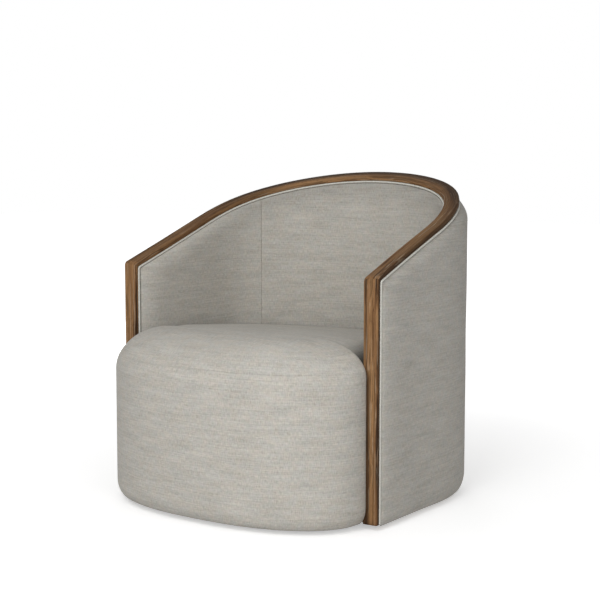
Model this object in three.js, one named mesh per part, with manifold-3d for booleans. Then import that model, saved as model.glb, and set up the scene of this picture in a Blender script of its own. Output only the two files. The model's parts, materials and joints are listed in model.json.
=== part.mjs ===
// A swivel barrel chair with an oak band round its upholstered shell. Millimetres, +Z up,
// the sitter looks along -Y, and the origin lies on the floor under the swivel.
import * as THREE from "three";
import { mergeVertices } from "three/addons/utils/BufferGeometryUtils.js";
import Module from "manifold-3d";

const wasm = await Module();
wasm.setup();

// Overall size
const overallWidth = 784;
const overallDepth = 822;
const backHeight = 795;
const armHeight = 573;
const coverClearance = 10;
const fitGap = 0.3;
const cutOverrun = 2;

// Plan of the oak band's outer edge: a nearly round back and almost straight arms
const archCentreOffset = 59;
const postPlaneOffset = 211;
const postSplay = 6;
const archPowerShare = 2.2;
const railFallShare = 0.57;
const armBankShare = 0.07;
const backBankShare = 0.32;
const seamPathShare = 0.43;

// Oak band
const trimWidth = 37.5;
const trimThickness = 11.5;
const trimEdgeRadius = 6;
const trimUnderChamfer = 2;
const postBottom = 14;
const tenonWidth = 20;
const tenonThickness = 4;
const tenonLength = 8;

// Wall layers from the outside in
const coverBulge = 19;
const coverEndBulge = 7;
const coverEndReach = 25;
const fabricThickness = 2;
const shellInset = 1;
const shellThickness = 6;
const topRibDepth = 21.5;
const topRibHeight = 24;
const innerBulge = 10;
const outerShoulderDrop = 52;
const innerShoulderDrop = 35;
const hemRadius = 18;
const hemReturn = 27;
const pipingDiameter = 5;
const armPostLength = 45;

// Seat drum
const seatHeight = 427;
const seatCrown = 6;
const seatBackFall = 49;
const noseOverlap = 10.5;
const noseStandoff = 3.5;
const nosePowerShare = 2.2;
const noseShoulderReach = 140;
const noseShoulderDrop = 95;
const armShoulderReach = 135;
const armShoulderDrop = 85;
const backShoulderReach = 20;
const backShoulderDrop = 10;
const noseBlend = 60;
const armBlend = 170;
const noseHemRadius = 27;
const noseReturn = 38;
const seatCoverThickness = 2.5;
const apronFoamThickness = 24;
const apronShellThickness = 6;
const seatSideGap = 0.5;
const postFoldGap = 3;
const seatSideOverrun = 2;

// Frame
const ribThickness = 18;
const wellGap = 17;
const studWidth = 45;
const studDepth = 20;
const frontStudGap = 2;
const ribGap = 0.9;
const deckTop = 254;
const deckSideRail = 74;
const deckEndRail = 121;
const webbingThickness = 2;
const webbingPress = 0.3;
const webbingWidth = 50;
const webbingGrip = 22;
const boardLength = 640;
const boardWidth = 300;
const boardThickness = 18;
const dustCoverThickness = 1;
const dustCoverInset = 12;

// Swivel base
const glideHeight = 5;
const glideRadius = 15;
const glideChamfer = 1.5;
const glideCircleRadius = 215;
const plinthRadius = 245;
const plinthThickness = 15;
const plateSize = 280;
const plateThickness = 2;
const plateHoleRadius = 40;
const raceRadius = 105;
const raceHalfWidth = 8;
const raceHeight = 3.5;
const raceClearance = 0.8;
const ballRadius = 3.5;
const cageThickness = 1.2;
const cageHalfWidth = 7;
const pivotRadius = 6;
const pivotClearance = 0.6;
const pivotHeadRadius = 15;
const pivotHeadHeight = 3.2;
const washerRadius = 17;
const washerThickness = 2;
const nutAcrossCorners = 22;
const nutHeight = 10;
const threadEnd = 2;

// Wood screws
const screwShankRadius = 2;
const screwHeadRadius = 4;
const screwHeadHeight = 2;
const shortScrew = 12;
const screwHoleGap = 0.4;
const plateScrewInset = 14;

// Counts and steps of the facets
const archSteps = 12;
const sideSteps = 3;
const noseSteps = 16;
const roundSteps = 48;
const raceSteps = 36;
const screwSides = 8;
const ballCount = 6;
const glideCount = 4;
const strapCount = 5;
const traceSteps = 400;

// Levels and places that follow from the sizes above
const trimHalfWidth = overallWidth / 2 - coverBulge;
const archDepth = overallDepth / 2 - archCentreOffset - coverBulge;
const postPlane = -postPlaneOffset;
const postBack = postPlane + trimThickness;
const pipingRadius = pipingDiameter / 2;
const wallSetback = trimThickness + pipingDiameter + 2 * fitGap;
const nosePlane = postPlane - noseStandoff;
const noseHalfWidth = trimHalfWidth + postSplay - trimWidth + noseOverlap;
const noseReach = overallDepth / 2 + nosePlane;
const shellInnerFace = shellInset + shellThickness;
const frameFace = shellInnerFace + fitGap;
const topRibFace = frameFace + topRibDepth;
const deckOpeningHalfWidth = trimHalfWidth - topRibFace - deckSideRail;
const deckOpeningFront = nosePlane - noseReach + deckEndRail;
const deckOpeningBack = archCentreOffset + archDepth - topRibFace - deckEndRail;
const wellRadius = plinthRadius + wellGap;
const innerFace = trimWidth + innerBulge;
const seatFace = innerFace + seatSideGap;
const apronOuter = seatCoverThickness + fitGap;
const apronMiddle = apronOuter + apronFoamThickness + fitGap;
const apronInner = apronMiddle + apronShellThickness;
const plinthBottom = glideHeight + fitGap;
const plinthTop = plinthBottom + plinthThickness;
const lowerPlateBottom = plinthTop + fitGap;
const lowerPlateTop = lowerPlateBottom + plateThickness;
const ballLevel = lowerPlateTop + raceHeight + raceClearance + cageThickness / 2 - fitGap;
const upperPlateBottom = 2 * ballLevel - lowerPlateTop;
const upperPlateTop = upperPlateBottom + plateThickness;
const ribBottom = upperPlateTop - ribThickness;
const boardBottom = upperPlateTop + fitGap;
const boardTop = boardBottom + boardThickness;
const deckBottom = deckTop - ribThickness;
const crossStrapBottom = deckTop + fitGap;
const longStrapBottom = crossStrapBottom + webbingThickness - webbingPress;
const foamBottom = longStrapBottom + webbingThickness + fitGap;
const skirtBottom = foamBottom + fitGap;
const wallCoverBottom = deckTop + fitGap;

// Helpers: closed bodies
function closedBody(positions, indices) {
  const geometry = new THREE.BufferGeometry();
  geometry.setAttribute("position", new THREE.Float32BufferAttribute(positions.flat(), 3));
  return outward(geometry.setIndex(indices));
}

// The same mesh with shared corners, no empty triangles and its faces pointing out
function outward(geometry) {
  const bare = geometry.clone();
  bare.deleteAttribute("normal");
  bare.deleteAttribute("uv");
  const merged = mergeVertices(bare);
  const corners = merged.index.array;
  const position = merged.attributes.position;
  const kept = [];
  let volume = 0;
  for (let i = 0; i < corners.length; i += 3) {
    const triangle = [corners[i], corners[i + 1], corners[i + 2]];
    if (new Set(triangle).size === 3) {
      const [a, b, c] = triangle.map((corner) => new THREE.Vector3().fromBufferAttribute(position, corner));
      volume += a.dot(b.cross(c));
      kept.push(...triangle);
    }
  }
  return merged.setIndex(volume < 0 ? kept.reverse() : kept);
}

// The triangles of a flat cap, wound as its outline is
function capIndices(outline, start) {
  const flat = outline.map(([x, y]) => new THREE.Vector2(x, y));
  const winding = Math.sign(THREE.ShapeUtils.area(flat));
  return THREE.ShapeUtils.triangulateShape(flat, []).flatMap((triangle) => {
    const same = Math.sign(THREE.ShapeUtils.area(triangle.map((i) => flat[i]))) === winding;
    return (same ? triangle : triangle.toReversed()).map((i) => i + start);
  });
}

function ringIndices(count, lower, upper) {
  const indices = [];
  for (let i = 0; i < count; i += 1) {
    const next = (i + 1) % count;
    indices.push(lower + i, lower + next, upper + next, lower + i, upper + next, upper + i);
  }
  return indices;
}

// A section carried along a path; sectionAt gives [across, height] pairs for each place on it
function sweep(places, sectionAt, placeAt) {
  const sections = places.map((place) => sectionAt(place));
  const count = sections[0].length;
  const rings = sections.map((section, i) => section.map((point) => placeAt(places[i], point)));
  const indices = [];
  for (let i = 0; i + 1 < rings.length; i += 1) {
    indices.push(...ringIndices(count, i * count, (i + 1) * count));
  }
  indices.push(...capIndices(sections[0], 0).reverse());
  indices.push(...capIndices(sections.at(-1), (rings.length - 1) * count));
  return closedBody(rings.flat(), indices);
}

// Rings that rise from a flat bottom to one top point
function dome(rings, top) {
  const count = rings[0].length;
  const indices = [];
  for (let i = 0; i + 1 < rings.length; i += 1) {
    indices.push(...ringIndices(count, i * count, (i + 1) * count));
  }
  const lastRing = (rings.length - 1) * count;
  const pole = rings.length * count;
  for (let i = 0; i < count; i += 1) {
    indices.push(lastRing + i, lastRing + ((i + 1) % count), pole);
  }
  indices.push(...capIndices(rings[0], 0).reverse());
  return closedBody([...rings.flat(), top], indices);
}

function prism(outline, bottom, top) {
  const shape = new THREE.Shape(outline.map(([x, y]) => new THREE.Vector2(x, y)));
  const body = new THREE.ExtrudeGeometry(shape, { depth: top - bottom, bevelEnabled: false });
  return outward(body.translate(0, 0, bottom));
}

function block(low, high) {
  const size = high.map((value, i) => value - low[i]);
  return outward(new THREE.BoxGeometry(...size).translate(...low.map((value, i) => value + size[i] / 2)));
}

function lathe(profile, sides) {
  const points = profile.map(([radius, height]) => new THREE.Vector2(radius, height));
  return outward(new THREE.LatheGeometry(points, sides).rotateX(Math.PI / 2));
}

function disc(radius, bottom, top, sides) {
  return lathe([[0, bottom], [radius, bottom], [radius, top], [0, top]], sides);
}

function washer(inner, outer, bottom, top, sides) {
  return lathe([[inner, bottom], [outer, bottom], [outer, top], [inner, top], [inner, bottom]], sides);
}

// Helpers: boolean joins and cuts
function toSolid(geometry) {
  return new wasm.Manifold(new wasm.Mesh({
    numProp: 3,
    vertProperties: new Float32Array(geometry.attributes.position.array),
    triVerts: new Uint32Array(geometry.index.array),
  }));
}

function toGeometry(solid) {
  const mesh = solid.getMesh();
  const geometry = new THREE.BufferGeometry();
  geometry.setAttribute("position", new THREE.BufferAttribute(mesh.vertProperties, 3));
  geometry.setIndex(new THREE.BufferAttribute(mesh.triVerts, 1));
  return geometry;
}

function joined(...geometries) {
  return toGeometry(geometries.map((piece) => toSolid(piece)).reduce((whole, piece) => whole.add(piece)));
}

function without(geometry, ...tools) {
  return toGeometry(tools.reduce((rest, tool) => rest.subtract(toSolid(tool)), toSolid(geometry)));
}

function within(geometry, tool) {
  return toGeometry(toSolid(geometry).intersect(toSolid(tool)));
}

function mirrored(geometry) {
  return outward(geometry.clone().scale(-1, 1, 1));
}

function smooth(value) {
  return THREE.MathUtils.smoothstep(value, 0, 1);
}

function steps(count) {
  return Array.from({ length: count + 1 }, (_, i) => i / count);
}

// Helpers: the chair's two plan curves
const halfPath = traceHalfPath();
const pathLength = halfPath.at(-1).along;
const seamDistance = pathLength * seamPathShare;
const wallEnd = pathLength - wallSetback;

function traceHalfPath() {
  const arch = steps(traceSteps).map((share) => {
    const turn = (share * Math.PI) / 2;
    const across = Math.sin(turn) ** (2 / archPowerShare);
    const back = Math.cos(turn) ** (2 / archPowerShare);
    return { x: trimHalfWidth * across, y: archCentreOffset + archDepth * back };
  });
  const side = steps(traceSteps).slice(1).map((share) => ({
    x: trimHalfWidth + postSplay * share ** 2,
    y: THREE.MathUtils.lerp(archCentreOffset, postPlane, share),
  }));
  const points = [...arch, ...side];
  let along = 0;
  points.forEach((point, i) => {
    along += i ? Math.hypot(point.x - points[i - 1].x, point.y - points[i - 1].y) : 0;
    point.along = along;
  });
  return points;
}

function lookUp(distance) {
  const next = Math.max(1, halfPath.findIndex((point) => point.along >= distance));
  const [a, b] = [halfPath[next - 1], halfPath[next]];
  const share = (distance - a.along) / (b.along - a.along);
  return new THREE.Vector2(a.x, a.y).lerp(new THREE.Vector2(b.x, b.y), share);
}

// A point of the band's outer edge, by its distance from the middle of the back, and its normal
function pathPoint(distance) {
  const reach = Math.min(Math.abs(distance), pathLength);
  const probe = pathLength / traceSteps;
  const before = reach < probe ? new THREE.Vector2(-lookUp(probe).x, lookUp(probe).y) : lookUp(reach - probe);
  const after = lookUp(Math.min(reach + probe, pathLength));
  const tangent = after.sub(before).normalize();
  const point = lookUp(reach);
  const side = distance < 0 ? -1 : 1;
  return { x: side * point.x, y: point.y, nx: -side * tangent.y, ny: tangent.x };
}

// A place on the wall's flat facets, which every layer shares
function wallPlace(distance, [across, height]) {
  const next = Math.max(1, plainGrid.findIndex((place) => place >= distance));
  const [a, b] = [plainGrid[next - 1], plainGrid[next]];
  const [from, to] = [a, b].map((place) => {
    const { x, y, nx, ny } = pathPoint(place);
    return new THREE.Vector2(x - nx * across, y - ny * across);
  });
  const { x, y } = from.lerp(to, (distance - a) / (b - a));
  return [x, y, height];
}

function railFall(share) {
  const straight = railFallShare * (2 * share - railFallShare);
  const fall = share < railFallShare ? share ** 2 : straight;
  return fall / (railFallShare * (2 - railFallShare));
}

// The band is banked: it drops towards the sitter, most behind the back, as if cut by a sloping plane
function railBank(distance) {
  const facingBack = Math.max(0, pathPoint(distance).ny);
  return THREE.MathUtils.lerp(armBankShare, backBankShare, facingBack);
}

function railTop(distance, across = 0) {
  const fall = (backHeight - armHeight) * railFall(Math.abs(distance) / pathLength);
  return backHeight - fall - across * railBank(distance);
}

// The band's thickness measured straight down, which grows with its slope and its bank
function railDrop(distance) {
  return trimThickness * Math.hypot(1, railSlope(distance), railBank(distance));
}

function railSlope(distance) {
  const probe = pathLength / traceSteps;
  return (railTop(distance + probe) - railTop(distance - probe)) / (2 * probe);
}

function underTrim(distance, across) {
  return railTop(distance, across) - railDrop(distance) - fitGap;
}

// The middle of a piping cord, which touches the banked band with its inner side
function pipingLevel(distance, across) {
  return underTrim(distance, Math.min(across + pipingRadius, trimWidth)) - pipingRadius;
}

function underPiping(distance, across = 0) {
  return pipingLevel(distance, across) - pipingRadius - fitGap;
}

const archLength = halfPath[traceSteps].along;
const plainGrid = makeGrid([]);
const wallGrid = makeGrid([seamDistance - fitGap / 2, seamDistance + fitGap / 2]);
const coverEndShares = [0.2, 0.45, 0.7, 1];
const coverGrid = makeGrid(coverEndShares.map((share) => wallEnd - coverEndReach * share));

function makeGrid(extra) {
  const arch = steps(archSteps).map((share) => share * archLength);
  const side = steps(sideSteps).map((share) => THREE.MathUtils.lerp(archLength, wallEnd, share));
  const half = [...new Set([...arch, ...side, ...extra, pathLength])].filter((value) => value > 0);
  return [...half.map((value) => -value), 0, ...half].sort((a, b) => a - b);
}

function wallPlaces(from, to, grid = wallGrid) {
  return [from, ...grid.filter((place) => place > from && place < to), to];
}

// A point of the seat nose's outline, by its turn from the right end, and its normal
function nosePoint(turn) {
  const at = (angle) => new THREE.Vector2(
    noseHalfWidth * Math.sign(Math.cos(angle)) * Math.abs(Math.cos(angle)) ** (2 / nosePowerShare),
    nosePlane - noseReach * Math.abs(Math.sin(angle)) ** (2 / nosePowerShare),
  );
  const probe = Math.PI / traceSteps;
  const tangent = at(Math.min(turn + probe, Math.PI)).sub(at(Math.max(turn - probe, 0))).normalize();
  const point = at(turn);
  return { x: point.x, y: point.y, nx: -tangent.y, ny: tangent.x };
}

function nosePlace(turn, [across, height]) {
  const { x, y, nx, ny } = nosePoint(turn);
  return [x - nx * across, y - ny * across, height];
}

function noseTurnAt(x) {
  return Math.acos(Math.sign(x) * Math.abs(x / noseHalfWidth) ** (nosePowerShare / 2));
}

const noseTurns = steps(noseSteps).map((share) => share * Math.PI);

// Helpers: rounded sections, as [across, height] pairs from the top down
function quarter(centre, reach, count, from, to) {
  return steps(count).map((share) => {
    const angle = THREE.MathUtils.degToRad(THREE.MathUtils.lerp(from, to, share));
    return [centre[0] + reach[0] * Math.cos(angle), centre[1] + reach[1] * Math.sin(angle)];
  });
}

function trimSection() {
  const [r, c] = [trimEdgeRadius, trimUnderChamfer];
  const corner = 2;
  return [
    [c, trimThickness], [0, trimThickness - c],
    ...quarter([r, r], [r, r], corner, 180, 270),
    ...quarter([trimWidth - r, r], [r, r], corner, 270, 360),
    [trimWidth, trimThickness - c], [trimWidth - c, trimThickness],
  ];
}

// Materials, named by what the piece is made of
const finishes = {
  oak: { color: 0x7d5c3e, roughness: 0.55, metalness: 0 },
  linen: { color: 0xb3ada0, roughness: 0.95, metalness: 0 },
  welt: { color: 0xcdc8bf, roughness: 0.9, metalness: 0 },
  foam: { color: 0xd9cfae, roughness: 0.95, metalness: 0 },
  plywood: { color: 0xc4a77a, roughness: 0.7, metalness: 0 },
  beech: { color: 0xc9a678, roughness: 0.65, metalness: 0 },
  blackPly: { color: 0x1f1d1b, roughness: 0.6, metalness: 0 },
  webbing: { color: 0x8b2f2a, roughness: 0.85, metalness: 0 },
  cambric: { color: 0x181818, roughness: 0.95, metalness: 0 },
  steel: { color: 0x9a9c9e, roughness: 0.35, metalness: 1 },
  nylon: { color: 0xe2ded2, roughness: 0.5, metalness: 0 },
};

const group = new THREE.Group();

function add(name, geometry, finish) {
  const mesh = new THREE.Mesh(geometry, new THREE.MeshStandardMaterial(finishes[finish]));
  mesh.name = name;
  group.add(mesh);
}

// Screws: the head's seat is at the origin and the shank points down
function screw(length, shankRadius = screwShankRadius) {
  return lathe([
    [0, -length], [shankRadius, -length + 2 * shankRadius], [shankRadius, 0],
    [screwHeadRadius, 0], [screwHeadRadius / 2, screwHeadHeight], [0, screwHeadHeight],
  ], screwSides);
}

function screwHole(length, shankRadius = screwShankRadius) {
  return disc(shankRadius + screwHoleGap, -length - screwHoleGap, screwHeadHeight + cutOverrun, screwSides);
}

function placed(geometry, place) {
  return geometry.clone().applyMatrix4(place);
}

function placeOf(position, direction) {
  const turn = new THREE.Quaternion().setFromUnitVectors(new THREE.Vector3(0, 0, -1), direction);
  return new THREE.Matrix4().compose(position, turn, new THREE.Vector3(1, 1, 1));
}

function addCopies(name, geometry, places, finish) {
  places.forEach((place, i) => add(`${name}_${i + 1}`, placed(geometry, place), finish));
}

const down = new THREE.Vector3(0, 0, -1);
const up = new THREE.Vector3(0, 0, 1);

// Swivel base: glides, plinth, swivel plates, balls in their cage and the pivot bolt
function gridPlaces(halfX, halfY, level, direction) {
  return [-1, 1].flatMap((sx) => [-1, 1].map(
    (sy) => placeOf(new THREE.Vector3(sx * halfX, sy * halfY, level), direction),
  ));
}

function circlePlaces(radius, count, level) {
  return steps(count).slice(1).map((share) => new THREE.Matrix4().makeTranslation(
    radius * Math.cos(2 * Math.PI * share), radius * Math.sin(2 * Math.PI * share), level,
  ));
}

const plateScrewPlace = plateSize / 2 - plateScrewInset;
const lowerScrewPlaces = gridPlaces(plateScrewPlace, plateScrewPlace, lowerPlateTop + fitGap, down);
const upperScrewPlaces = gridPlaces(plateScrewPlace, plateScrewPlace, upperPlateBottom - fitGap, up);
const pivotHole = disc(pivotRadius + pivotClearance, 0, boardTop + cutOverrun, roundSteps / 2);

function buildBase() {
  const glide = lathe([
    [0, 0], [glideRadius - glideChamfer, 0], [glideRadius, glideChamfer],
    [glideRadius, glideHeight], [0, glideHeight],
  ], screwSides * 2);
  addCopies("glide_pad", glide, circlePlaces(glideCircleRadius, glideCount, 0), "nylon");

  const plinthHoles = lowerScrewPlaces.map((place) => placed(screwHole(shortScrew), place));
  const plinth = disc(plinthRadius, plinthBottom, plinthTop, roundSteps);
  add("plinth", without(plinth, pivotHole, ...plinthHoles), "blackPly");

  add("swivel_lower_plate", without(swivelPlate(), ...plinthHoles), "steel");
  addCopies("lower_plate_screw", screw(shortScrew), lowerScrewPlaces, "steel");
  add("pivot_bolt", lathe([
    [0, plinthBottom - fitGap - pivotHeadHeight],
    [pivotHeadRadius / 2, plinthBottom - fitGap - pivotHeadHeight],
    [pivotHeadRadius, plinthBottom - fitGap - pivotHeadHeight / 2],
    [pivotHeadRadius, plinthBottom - fitGap], [pivotRadius, plinthBottom - fitGap],
    [pivotRadius, boardTop + washerThickness + nutHeight + threadEnd + 2 * fitGap],
    [0, boardTop + washerThickness + nutHeight + threadEnd + 2 * fitGap],
  ], roundSteps / 2), "steel");
  const washerBottom = boardTop + fitGap;
  const washerTop = washerBottom + washerThickness;
  const boreRadius = pivotRadius + fitGap;
  add("pivot_washer", washer(boreRadius, washerRadius, washerBottom, washerTop, roundSteps / 2), "nylon");
  const nutBottom = washerTop + fitGap;
  const hexagon = disc(nutAcrossCorners / 2, nutBottom, nutBottom + nutHeight, 6);
  const bore = disc(boreRadius, 0, nutBottom + nutHeight + cutOverrun, roundSteps / 2);
  add("pivot_nut", without(hexagon, bore), "steel");
}

// One pressed steel plate with its raised ball race, as the lower plate lies
function swivelPlate() {
  const half = plateSize / 2;
  const sheet = block([-half, -half, lowerPlateBottom], [half, half, lowerPlateTop]);
  const raceTop = lowerPlateTop + raceHeight;
  const ring = washer(
    raceRadius - raceHalfWidth, raceRadius + raceHalfWidth, lowerPlateBottom, raceTop, raceSteps,
  );
  const torus = new THREE.TorusGeometry(raceRadius, ballRadius + raceClearance, screwSides, raceSteps);
  const groove = outward(torus.translate(0, 0, ballLevel));
  const opening = disc(plateHoleRadius, 0, raceTop, roundSteps);
  return without(joined(sheet, ring), groove, opening);
}

function buildBallCage() {
  const places = circlePlaces(raceRadius, ballCount, ballLevel);
  const pocket = disc(ballRadius + screwHoleGap, -cageThickness, cageThickness, screwSides);
  const ring = washer(
    raceRadius - cageHalfWidth, raceRadius + cageHalfWidth,
    ballLevel - cageThickness / 2, ballLevel + cageThickness / 2, raceSteps,
  );
  add("ball_cage", without(ring, ...places.map((place) => placed(pocket, place))), "nylon");
  addCopies("bearing_ball", outward(new THREE.IcosahedronGeometry(ballRadius, 1)), places, "steel");
}

// Frame: plywood ribs, studs, deck rails, webbing and the bent shells
function framePlan(wallFace, noseFace) {
  const nose = noseTurns.map((turn) => nosePlace(turn, [noseFace, 0]));
  const corner = trimHalfWidth + postSplay - trimWidth - postFoldGap;
  const start = postBack + 2 * fitGap;
  const sideStart = pathLength + postPlane - start;
  const side = wallPlaces(-sideStart, sideStart).map((place) => wallPlace(place, [wallFace, 0]));
  return [...nose, [-corner, start], ...side, [corner, start]].map(([x, y]) => [x, y]);
}

function slab(plan, bottom, top, low, high) {
  return within(prism(plan, bottom, top), block([low[0], low[1], 0], [high[0], high[1], backHeight]));
}

function buildRibs() {
  const plan = framePlan(frameFace, apronInner + fitGap);
  const reach = overallDepth;
  const well = disc(wellRadius, 0, backHeight, roundSteps);
  const half = (low, high) => without(slab(plan, ribBottom, ribBottom + ribThickness, low, high), well);
  add("bottom_rib_front", half([-reach, -reach], [reach, -fitGap / 2]), "plywood");
  add("bottom_rib_back", half([-reach, fitGap / 2], [reach, reach]), "plywood");

  const deck = framePlan(topRibFace + fitGap, apronInner + fitGap);
  const rail = (low, high) => slab(deck, deckBottom, deckTop, low, high);
  const inner = deckOpeningHalfWidth;
  add("deck_front_rail", rail([-reach, -reach], [reach, deckOpeningFront]), "plywood");
  add("deck_back_rail", rail([-reach, deckOpeningBack], [reach, reach]), "plywood");
  const [from, to] = [deckOpeningFront + fitGap, deckOpeningBack - fitGap];
  add("deck_left_rail", rail([-reach, from], [-inner, to]), "plywood");
  add("deck_right_rail", rail([inner, from], [reach, to]), "plywood");

  const upperHoles = upperScrewPlaces.map((place) => placed(screwHole(shortScrew), place));
  const board = block(
    [-boardLength / 2, -boardWidth / 2, boardBottom], [boardLength / 2, boardWidth / 2, boardTop],
  );
  add("mounting_board", without(board, pivotHole, ...upperHoles), "plywood");
  const turnedOver = swivelPlate().rotateX(Math.PI).translate(0, 0, 2 * ballLevel);
  add("swivel_upper_plate", without(turnedOver, ...upperHoles), "steel");
  addCopies("upper_plate_screw", screw(shortScrew), upperScrewPlaces, "steel");
}

function buildWallFrame() {
  const ribTop = (place, across) => underTrim(place, across) - ribGap;
  const ribBase = (place) => ribTop(place, topRibFace) - topRibHeight;
  const ribSection = (place) => [
    [frameFace, ribTop(place, frameFace)], [topRibFace, ribTop(place, topRibFace)],
    [topRibFace, ribBase(place)], [frameFace, ribBase(place)],
  ];
  const ribEnd = pathLength - trimThickness - fitGap;
  add("top_rib", sweep(wallPlaces(-ribEnd, ribEnd), ribSection, wallPlace), "beech");

  const studSection = (place) => [
    [frameFace + fitGap, ribBase(place) - ribGap], [frameFace + fitGap + studDepth, ribBase(place) - ribGap],
    [frameFace + fitGap + studDepth, boardBottom], [frameFace + fitGap, boardBottom],
  ];
  const studShares = [-0.45, 0, 0.45];
  studShares.forEach((share, i) => {
    const middle = share * pathLength;
    const places = wallPlaces(middle - studWidth / 2, middle + studWidth / 2);
    const stud = sweep(places, studSection, wallPlace);
    add(`wall_stud_${i + 1}`, stud, "beech");
  });

  const armPost = sweep([ribEnd - armPostLength, ribEnd], studSection, wallPlace);
  add("arm_post_right", armPost, "beech");
  add("arm_post_left", mirrored(armPost), "beech");

  const shellSection = (place) => [
    [shellInset, underPiping(place)], [shellInnerFace, underPiping(place)],
    [shellInnerFace, ribBottom], [shellInset, ribBottom],
  ];
  add("wall_shell", sweep(wallPlaces(-wallEnd, wallEnd), shellSection, wallPlace), "plywood");
}

function buildApron() {
  const section = (from, to, bottom, top) => () => [[from, top], [to, top], [to, bottom], [from, bottom]];
  const apron = section(apronMiddle, apronInner, ribBottom, deckTop);
  add("apron_shell", sweep(noseTurns, apron, nosePlace), "plywood");
  const studFace = apronInner + frontStudGap;
  const stud = section(studFace, studFace + studDepth, boardBottom, deckBottom - fitGap);
  const frontStudShares = [-0.5, 0.5];
  frontStudShares.forEach((share, i) => {
    const middle = share * noseHalfWidth;
    const turns = [middle - studWidth / 2, middle + studWidth / 2].map((x) => noseTurnAt(x));
    add(`front_stud_${i + 1}`, sweep(turns, stud, nosePlace), "beech");
  });
}

function buildWebbing() {
  const strapShares = steps(strapCount - 1).map((share) => share - 1 / 2);
  const half = webbingWidth / 2;
  const acrossReach = deckOpeningHalfWidth + webbingGrip;
  const front = deckOpeningFront - webbingGrip;
  const back = deckOpeningBack + webbingGrip;
  const [spanY, spanX] = [back - front - 4 * webbingGrip, 2 * acrossReach - 4 * webbingGrip];
  const cross = strapShares.map((share) => {
    const middle = (front + back) / 2 + share * (spanY - webbingWidth);
    return block(
      [-acrossReach, middle - half, crossStrapBottom],
      [acrossReach, middle + half, crossStrapBottom + webbingThickness],
    );
  });
  const long = strapShares.map((share) => {
    const middle = share * (spanX - webbingWidth);
    return block(
      [middle - half, front, longStrapBottom], [middle + half, back, longStrapBottom + webbingThickness],
    );
  });
  const insideWall = prism(framePlan(seatFace, apronInner), deckTop, backHeight);
  add("seat_webbing", within(joined(...cross, ...long), insideWall), "webbing");
}

// Padding and covers of the wall
const shoulderSteps = 4;
const hemSteps = 3;

// The cover's bulge beyond the band, which rolls in towards the posts
function bulgeAt(place) {
  const share = Math.min((wallEnd - Math.abs(place)) / coverEndReach, 1);
  return THREE.MathUtils.lerp(coverEndBulge, coverBulge, 1 - (1 - share) ** 2);
}

function outerLine(depth, place) {
  const bulge = bulgeAt(place);
  const middleLevel = underPiping(place) - outerShoulderDrop;
  const base = coverClearance + depth;
  const start = shellInset - fitGap;
  const reach = [-(bulge + start - depth), outerShoulderDrop - depth];
  const shoulder = quarter([start, middleLevel], reach, shoulderSteps, 90, 0);
  const hem = (hemRadius * bulge) / coverBulge;
  const middle = [hem - bulge, base + hem - depth];
  return [...shoulder, ...quarter(middle, [depth - hem, depth - hem], hemSteps, 0, 90)];
}

function outerCoverSection(place) {
  const edge = -coverBulge + hemRadius + hemReturn;
  const outside = outerLine(0, place);
  const inside = outerLine(fabricThickness, place).reverse();
  return [...outside, [edge, coverClearance], [edge, coverClearance + fabricThickness], ...inside];
}

function outerPaddingSection(place) {
  const depth = fabricThickness + 4 * fitGap;
  const face = shellInset - fitGap;
  return [...outerLine(depth, place), [face, coverClearance + depth]];
}

function innerLine(depth, place) {
  const top = underPiping(place, trimWidth);
  const reach = [innerBulge - depth, innerShoulderDrop - depth];
  return quarter([trimWidth, top - innerShoulderDrop], reach, shoulderSteps - 1, 90, 0);
}

function innerCoverSection(place) {
  return [
    ...innerLine(0, place), [innerFace, wallCoverBottom],
    [innerFace - fabricThickness, wallCoverBottom], ...innerLine(fabricThickness, place).reverse(),
  ];
}

function innerPaddingSection(place) {
  const depth = fabricThickness + fitGap;
  const back = topRibFace + fitGap;
  return [
    [back, underPiping(place, trimWidth) - depth], ...innerLine(depth, place),
    [innerFace - depth, wallCoverBottom], [back, wallCoverBottom],
  ];
}

function buildWallCovers() {
  const outside = wallPlaces(-wallEnd, wallEnd, coverGrid);
  add("outer_padding", sweep(outside, outerPaddingSection, wallPlace), "foam");
  add("outer_cover", sweep(outside, outerCoverSection, wallPlace), "linen");
  add("inner_padding", sweep(wallPlaces(-wallEnd, wallEnd), innerPaddingSection, wallPlace), "foam");
  const seam = seamDistance - fitGap / 2;
  const panel = (from, to) => sweep(wallPlaces(from, to), innerCoverSection, wallPlace);
  add("inner_cover_left", panel(-wallEnd, -seam - fitGap), "linen");
  add("inner_cover_back", panel(-seam, seam), "linen");
  add("inner_cover_right", panel(seam + fitGap, wallEnd), "linen");
}

// Piping: one cord under each lower edge of the band, which turns down behind the posts
function pipingPath(across, bottom) {
  const turnDistance = pathLength - trimThickness - fitGap - pipingRadius;
  const places = wallPlaces(0, turnDistance);
  const rail = places.map((place) => wallPlace(place, [across, pipingLevel(place, across)]));
  const [x, y, z] = rail.at(-1);
  const half = [...rail, [x, y, THREE.MathUtils.lerp(z, bottom, 1 / 2)], [x, y, bottom]];
  const left = half.slice(1).reverse().map((point) => [-point[0], point[1], point[2]]);
  return [...left, ...half].map((point) => new THREE.Vector3(...point));
}

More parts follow.
